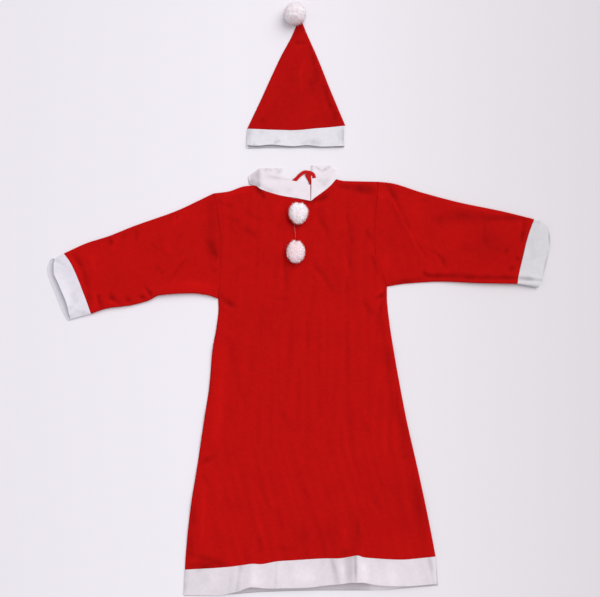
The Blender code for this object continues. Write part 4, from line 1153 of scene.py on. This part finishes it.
# The lower pompom's fluff is pinker still: painted red light from the felt around it.
lower_fluff_painted_bounce = felt_material("Lower fluff", (0.90, 0.67, 0.70), (0.99, 0.82, 0.86), YARN_NAP, **glow)
ribbon = felt_material("Red ribbon", (0.42, 0.002, 0.003), (0.62, 0.010, 0.010), RIBBON_NAP, Roughness=0.6)
print("materials:", [m.name for m in (red_felt, white_felt, fluff, ribbon)])

# %% [markdown]
# ## Pompoms
# A pompom is a bundle of soft yarn ends round a knot. Geometry Nodes scatter points over a
# small core and stand a bent, tapering fibre on each. A second step pulls the fibres' ends
# together in tufts, and keeps them above what the pompom rests on.

# %% The fluff's node tree
FIBRE_SIDES, FIBRE_STEPS, FIBRE_TAPER = 3, 3, 0.65
TUFT_REACH, FULL_REACH = 0.027, 0.028
THROUGH = [("Geometry", "Geometry", None)]
fur, given, taken = new_tree(
    "Pompom fluff",
    "GeometryNodeTree",
    [
        *THROUGH,
        ("Fibres per Area", "Float", 3.6e5), ("Fibre Length", "Float", 0.015),
        ("Fibre Thickness", "Float", 0.02), ("Tuft Size", "Float", 0.007), ("Tuft Pull", "Float", 0.006),
        ("Centre", "Vector", None), ("Rest Height", "Float", 0.0), ("Seed", "Int", 1),
        ("Fluff", "Material", None),
    ],
    THROUGH,
)


def chance(low, high, seed):
    as_number = {"data_type": "FLOAT"}
    made = node(fur, "FunctionNodeRandomValue", as_number, Min=low, Max=high, Seed=seed)
    return made.outputs["Value"]


def turned(rotation, axis, angle):
    by = node(fur, "FunctionNodeAxisAngleToRotation", Axis=axis, Angle=angle).outputs["Rotation"]
    local = {"rotation_space": "LOCAL"}
    made = node(fur, "FunctionNodeRotateRotation", local, Rotation=rotation, Rotate_By=by)
    return made.outputs["Rotation"]


scattered = node(
    fur,
    "GeometryNodeDistributePointsOnFaces",
    {"distribute_method": "RANDOM"},
    Mesh=given["Geometry"],
    Density=given["Fibres per Area"],
    Seed=given["Seed"],
)
spine = node(
    fur,
    "GeometryNodeCurveQuadraticBezier",
    Resolution=FIBRE_STEPS,
    Start=(0, 0, 0),
    Middle=(0.1, 0, 0.65),
    End=(0.62, 0, 0.86),
)
along = node(fur, "GeometryNodeSplineParameter").outputs["Factor"]
taper = math_node(fur, "SUBTRACT", 1.0, math_node(fur, "MULTIPLY", along, FIBRE_TAPER))
ring = node(
    fur, "GeometryNodeCurvePrimitiveCircle", Resolution=FIBRE_SIDES, Radius=given["Fibre Thickness"]
)
strand = node(
    fur,
    "GeometryNodeCurveToMesh",
    Curve=spine.outputs["Curve"],
    Profile_Curve=ring.outputs["Curve"],
    Scale=taper,
    Fill_Caps=True,
)
upright = turned(scattered.outputs["Rotation"], (0, 0, 1), chance(0.0, 6.283, given["Seed"]))
leant = turned(upright, (1, 0, 0), chance(-0.5, 0.5, 7))
planted = node(
    fur,
    "GeometryNodeInstanceOnPoints",
    Points=scattered.outputs["Points"],
    Instance=strand.outputs["Mesh"],
    Rotation=leant,
    Scale=math_node(fur, "MULTIPLY", chance(0.86, 1.04, 3), given["Fibre Length"]),
)
loose = node(fur, "GeometryNodeRealizeInstances", Geometry=planted.outputs["Instances"])
together = node(fur, "GeometryNodeJoinGeometry")
feed(fur, together.inputs["Geometry"], loose.outputs["Geometry"])
feed(fur, together.inputs["Geometry"], given["Geometry"])

here = node(fur, "GeometryNodeInputPosition").outputs["Position"]
from_centre = vector_math(fur, "SUBTRACT", here, given["Centre"])
fineness = math_node(fur, "DIVIDE", TUFT_REACH, given["Tuft Size"])
tuft_place = vector_math(fur, "SCALE", vector_math(fur, "NORMALIZE", from_centre), scale=fineness)
pattern = node(fur, "ShaderNodeTexNoise", Vector=tuft_place, Scale=1.0, Detail=3.0)
swing = vector_math(fur, "SUBTRACT", pattern.outputs["Color"], (0.5, 0.5, 0.5))
out_share = math_node(fur, "DIVIDE", vector_math(fur, "LENGTH", from_centre), FULL_REACH)
strength = math_node(fur, "MULTIPLY", given["Tuft Pull"], 2.0)
pull = math_node(fur, "MULTIPLY", math_node(fur, "POWER", out_share, 2.0), strength)
tufted = node(
    fur,
    "GeometryNodeSetPosition",
    Geometry=together.outputs["Geometry"],
    Offset=vector_math(fur, "SCALE", swing, scale=pull),
)
split = node(fur, "ShaderNodeSeparateXYZ", Vector=here).outputs
above = math_node(fur, "MAXIMUM", split["Z"], given["Rest Height"])
settled = node(
    fur,
    "GeometryNodeSetPosition",
    Geometry=tufted.outputs["Geometry"],
    Position=node(fur, "ShaderNodeCombineXYZ", X=split["X"], Y=split["Y"], Z=above).outputs["Vector"],
)


def painted(tree, geometry, material):
    """Makes instances real and gives them this material."""
    real = node(tree, "GeometryNodeRealizeInstances", Geometry=geometry).outputs["Geometry"]
    return node(tree, "GeometryNodeSetMaterial", Geometry=real, Material=material).outputs["Geometry"]


feed(fur, taken["Geometry"], painted(fur, settled.outputs["Geometry"], given["Fluff"]))
print("fluff tree:", len(fur.nodes), "nodes")

# %% Run a tree and keep its mesh
Pompom = namedtuple("Pompom", "name x y z rest reach_x reach_y reach_z taper seed")
CORE_SHARE, FIBRE_SHARE, REST_GAP = 0.9, 1.5, 0.5
CUSHION = 0.84  # 1 would be an ellipsoid, and less is fuller
POMPOM_LIFT = 16.6


def grown(obj, tree, values):
    """Runs a node tree on an object with these inputs, and leaves it a plain mesh."""
    modifier = obj.modifiers.new(tree.name, "NODES")
    modifier.node_group = tree
    for socket in tree.interface.items_tree:
        if socket.in_out == "INPUT" and socket.name in values:
            modifier[socket.identifier] = values[socket.name]
    return made_plain(obj)


def ball(name, centre, radii, taper, rings=44, segments=72):
    """A closed shell, fuller than an ellipsoid, and wider towards +Y by taper."""
    poles = np.linspace(0, np.pi, rings + 1)[1:-1]
    turns = np.linspace(0, 2 * np.pi, segments, endpoint=False)
    polar, azimuth = np.meshgrid(poles, turns, indexing="ij")
    out, up = np.sin(polar) ** CUSHION, np.sign(np.cos(polar)) * np.abs(np.cos(polar)) ** CUSHION
    shell = np.stack((out * np.cos(azimuth), out * np.sin(azimuth), up), -1)
    points = np.concatenate((shell.reshape(-1, 3), [(0, 0, 1), (0, 0, -1)]))
    points[:, 0] *= 1 + taper * points[:, 1]
    faces = []
    for row in range(rings - 2):
        for k in range(segments):
            a, b = row * segments + k, row * segments + (k + 1) % segments
            faces.append((a, a + segments, b + segments, b))
    top, bottom, last = len(points) - 2, len(points) - 1, (rings - 2) * segments
    for k in range(segments):
        following = (k + 1) % segments
        faces += [(top, k, following), (bottom, last + following, last + k)]
    mesh = bpy.data.meshes.new(name)
    mesh.from_pydata((points * radii + centre).tolist(), [], faces)
    mesh.shade_smooth()
    return linked(bpy.data.objects.new(name, mesh))


upper_seat, lower_seat = (
    float(gown_base(np.array(px), np.array(py))) for px, py in ((-1.0, 232.0), (-7.0, 129.0))
)
POMPOMS = [
    Pompom("pompom_upper", -0.5, 229.5, upper_seat - 2.6, upper_seat, 27.5, 30.5, 20, 0.10, 5),
    Pompom("pompom_lower", -7.5, 129, lower_seat - 3.6, lower_seat, 26.5, 32.5, 18.5, -0.05, 9),
    Pompom("hat_pompom", -10, 753.5, 3.8, 0.4, 30.5, 28.5, 29, -0.10, 13),
]
for pompom in POMPOMS:
    centre = placed(np.array((pompom.x, pompom.y, pompom.z + POMPOM_LIFT)))
    reach = np.array((pompom.reach_x, pompom.reach_y, pompom.reach_z)) * MM
    core = ball(f"{pompom.name}_fluff", centre, reach * CORE_SHARE, pompom.taper)
    values = {
        "Fibre Length": float(reach.mean()) * (1 - CORE_SHARE) * FIBRE_SHARE,
        "Centre": tuple(centre),
        "Rest Height": (pompom.rest + REST_GAP) * MM,
        "Seed": pompom.seed,
        "Fluff": lower_fluff_painted_bounce if pompom.name == "pompom_lower" else fluff,
    }
    piece = pieces[f"{pompom.name}_fluff"] = grown(core, fur, values)
    print(pompom.name, len(piece.data.polygons), "faces")

# %% [markdown]
# ## Seam stitches
# The pieces are joined by small stitches in matching thread, which show only as a fine row of
# marks in each seam's groove. One tree resamples a seam line evenly and lays a short rounded
# stitch on each step, turned along the seam.

# %% Stitches along the seams
STITCH_EVERY, STITCH_LENGTH, THREAD, STITCH_RISE = 3.2, 2.3, 0.5, 0.1
sewing, given, taken = new_tree(
    "Seam stitches",
    "GeometryNodeTree",
    [
        *THROUGH,
        ("Spacing", "Float", STITCH_EVERY * MM), ("Stitch Length", "Float", STITCH_LENGTH * MM),
        ("Thread", "Float", THREAD * MM), ("Thread Material", "Material", None),
    ],
    THROUGH,
)
stepped = node(
    sewing,
    "GeometryNodeResampleCurve",
    {"mode": "LENGTH"},
    Curve=given["Geometry"],
    Length=given["Spacing"],
)
bead = node(sewing, "GeometryNodeMeshUVSphere", Segments=5, Rings=4, Radius=0.5)
heading = node(sewing, "GeometryNodeInputTangent").outputs["Tangent"]
aimed = node(sewing, "FunctionNodeAlignRotationToVector", {"axis": "X"}, Vector=heading)
shape = node(sewing, "ShaderNodeCombineXYZ", X=given["Stitch Length"], Y=given["Thread"], Z=given["Thread"])
laid = node(
    sewing,
    "GeometryNodeInstanceOnPoints",
    Points=stepped.outputs["Curve"],
    Instance=bead.outputs["Mesh"],
    Rotation=aimed.outputs["Rotation"],
    Scale=shape.outputs["Vector"],
)
feed(sewing, taken["Geometry"], painted(sewing, laid.outputs["Instances"], given["Thread Material"]))

top_row = gown_points[-1]
at_neck = (top_row[:, 0] >= NECK_LEFT[0] - 0.1) & (top_row[:, 0] <= NECK_RIGHT[0] + 0.1)
seam_lines["hem"], seam_lines["neck"] = gown_points[0], top_row[at_neck]
seams = path_curve("seam_stitches", [line + (0, 0, STITCH_RISE) for line in seam_lines.values()])
stitches = pieces["seam_stitches"] = grown(seams, sewing, {"Thread Material": red_felt})
print("stitches:", len(stitches.data.polygons), "faces")

# %% [markdown]
# ## Each piece rides with the suit and replaces its solid
# Every piece moves with the suit's one body, and stands for the solid that it replaces. The size of each
# cloth piece's flat cut is also worked out, from the patterns above, not from the finished meshes, so it
# would show a piece that had been stretched.

# %% Ride and replace, and the sizes of the cuts
Cloth = namedtuple("Cloth", "node slot material rests_on")
CLOTHS = [
    Cloth("gown_front", "red_felt", red_felt, ["gown_back_left", "gown_back_right"]),
    Cloth("gown_back_left", "red_felt", red_felt, []),
    Cloth("gown_back_right", "red_felt", red_felt, []),
    Cloth("sleeve_left", "red_felt", red_felt, []),
    Cloth("sleeve_right", "red_felt", red_felt, []),
    Cloth("cuff_left", "white_felt", left_trim, []),
    Cloth("cuff_right", "white_felt", right_trim_painted_shade, []),
    Cloth("hem_band_front", "white_felt", white_felt, ["hem_band_back"]),
    Cloth("hem_band_back", "white_felt", white_felt, []),
    Cloth("collar_left", "white_felt", collar_felt, ["gown_front"]),
    Cloth("collar_right", "white_felt", collar_felt, ["gown_front"]),
    Cloth("hat_front", "red_felt", hat_felt, ["hat_back"]),
    Cloth("hat_back", "red_felt", hat_felt, []),
    Cloth("hat_band", "white_felt", hat_trim, []),
]


def cut_of(plan, around=1):
    """Width, length and area in metres of a flat pattern, counted all round on a tube."""
    share = np.linspace(0, 1, 60)
    grid = plan(share[None, :], share[:, None])
    width, length = lengths(grid, 1).max() * around, lengths(grid, 0).max()
    diagonal, other = grid[1:, 1:] - grid[:-1, :-1], grid[1:, :-1] - grid[:-1, 1:]
    crossed = diagonal[..., 0] * other[..., 1] - diagonal[..., 1] * other[..., 0]
    area = np.abs(crossed).sum() / 2 * around
    area = min(area, width * length)
    return (float(width) * MM, float(length) * MM), float(area) * MM * MM


def across_first(plan):
    return lambda across, along: plan(along, across)


def strip_cut(grid):
    """The cut of a lofted strip: its two lengths, measured along its surface."""
    width, length = lengths(grid, 1).max(), lengths(grid, 0).max()
    mean = lengths(grid, 1).mean() * lengths(grid, 0).mean()
    return (float(width) * MM, float(length) * MM), float(min(mean, width * length)) * MM * MM


flat_plans = {"gown_front": gown_plan, **back_plans, **hem_plans}
flat_plans.update(hat_front=hat_plan, hat_back=hat_plan)
cuts = {name: cut_of(plan) for name, plan in flat_plans.items()}
cuts.update((name, cut_of(across_first(plan), 2)) for name, plan in tube_plans.items())
cuts.update((name, strip_cut(grid)) for name, grid in collar_grids.items())
for cloth in CLOTHS:
    piece = pieces[cloth.node + "_cloth"]
    piece.data.materials.append(cloth.material)
    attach(piece, "root")
    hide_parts(cloth.node)

neck_ribbon, ribbon_tail = pieces["neck_ribbon_cloth"], pieces["neck_ribbon_tail"]
for piece in (neck_ribbon, ribbon_tail):
    piece.data.materials.append(ribbon)
for piece, node_name, slot in (
    (neck_ribbon, "neck_ribbon", "red_ribbon"),
    (ribbon_tail, "neck_ribbon", "red_ribbon"),
    *((pieces[p.name + "_fluff"], p.name, "white_fluff") for p in POMPOMS),
):
    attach(piece, "root")
    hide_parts(node_name)
pompom_thread.data.materials.append(white_felt)
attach(pompom_thread, "root")
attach(stitches, "root")

# %% [markdown]
# ## Table, light and camera
# The picture was taken from straight above, on a pale lavender table. Soft light comes mostly
# from the upper right, so shadows lie at the lower left of the pompoms and along the left
# edges. A broad sun, a weak fill light and an even world give that.

# %% Stage
TABLE_SIZE = 8.0
half = TABLE_SIZE / 2
corners = [(-half, -half, 0), (half, -half, 0), (half, half, 0), (-half, half, 0)]
table_mesh = bpy.data.meshes.new("table")
table_mesh.from_pydata(corners, [], [(0, 1, 2, 3)])
table = linked(bpy.data.objects.new("table", table_mesh))

# Painted shade: the table's colour is brightest just left of the middle and darker towards both sides, most
# to the right, standing in for light that falls off.
LIT_ACROSS = 1.6  # the table's shade changes over this many metres from left to right
TABLE_PAINTED_SHADE = [
    (0.0, (0.790, 0.755, 0.804)), (0.39, (0.866, 0.828, 0.880)), (0.54, (0.860, 0.822, 0.868)),
    (0.72, (0.806, 0.770, 0.805)), (1.0, (0.735, 0.700, 0.728)),
]
pale = bpy.data.materials.new("Pale table")
pale.use_nodes = True
tree = pale.node_tree
place = node(tree, "ShaderNodeTexCoord").outputs["Object"]
across = node(tree, "ShaderNodeSeparateXYZ", Vector=place).outputs["X"]
share = math_node(tree, "ADD", math_node(tree, "MULTIPLY", across, 1 / LIT_ACROSS), 0.5)
painted_falloff = node(tree, "ShaderNodeValToRGB", Fac=share)
stops = painted_falloff.color_ramp.elements
for number, (at, colour) in enumerate(TABLE_PAINTED_SHADE):
    stop = stops[number] if number < 2 else stops.new(at)
    stop.position, stop.color = at, (*colour, 1)
shader = tree.nodes["Principled BSDF"]
set_inputs(shader, Roughness=0.9, Specular_IOR_Level=0.1)
feed(tree, shader.inputs["Base Color"], painted_falloff.outputs["Color"])
table_mesh.materials.append(pale)

LENS, SENSOR = 50.0, 36.0
VIEW_CENTRE, VIEW_WIDTH, CLOTH_LEVEL = (0.0029, 0.0027), 1.5888, 0.004
camera_data = bpy.data.cameras.new("camera")
camera_data.lens, camera_data.sensor_width = LENS, SENSOR
camera = linked(bpy.data.objects.new("camera", camera_data))
camera.location = (*VIEW_CENTRE, VIEW_WIDTH * LENS / SENSOR + CLOTH_LEVEL)
bpy.context.scene.camera = camera


def aimed_light(name, kind, location, **settings):
    """A light at this place that points at the suit's middle."""
    data = bpy.data.lights.new(name, kind)
    for key, value in settings.items():
        setattr(data, key, value)
    lamp = linked(bpy.data.objects.new(name, data))
    lamp.location = location
    lamp.rotation_euler = lamp.location.to_track_quat("Z", "Y").to_euler()


aimed_light("soft window", "SUN", (1.4, 1.4, 2.75), energy=2.05, angle=1.0)
aimed_light("fill", "AREA", (-2.4, 0.2, 2.0), energy=8.0, size=2.0)
world = bpy.data.worlds.new("soft room")
bpy.context.scene.world = world
world.use_nodes = True
set_inputs(world.node_tree.nodes["Background"], Color=(0.97, 0.97, 1.0, 1), Strength=0.47)
bpy.context.scene.view_settings.view_transform = "Standard"
print("camera height", round(camera.location.z, 3))
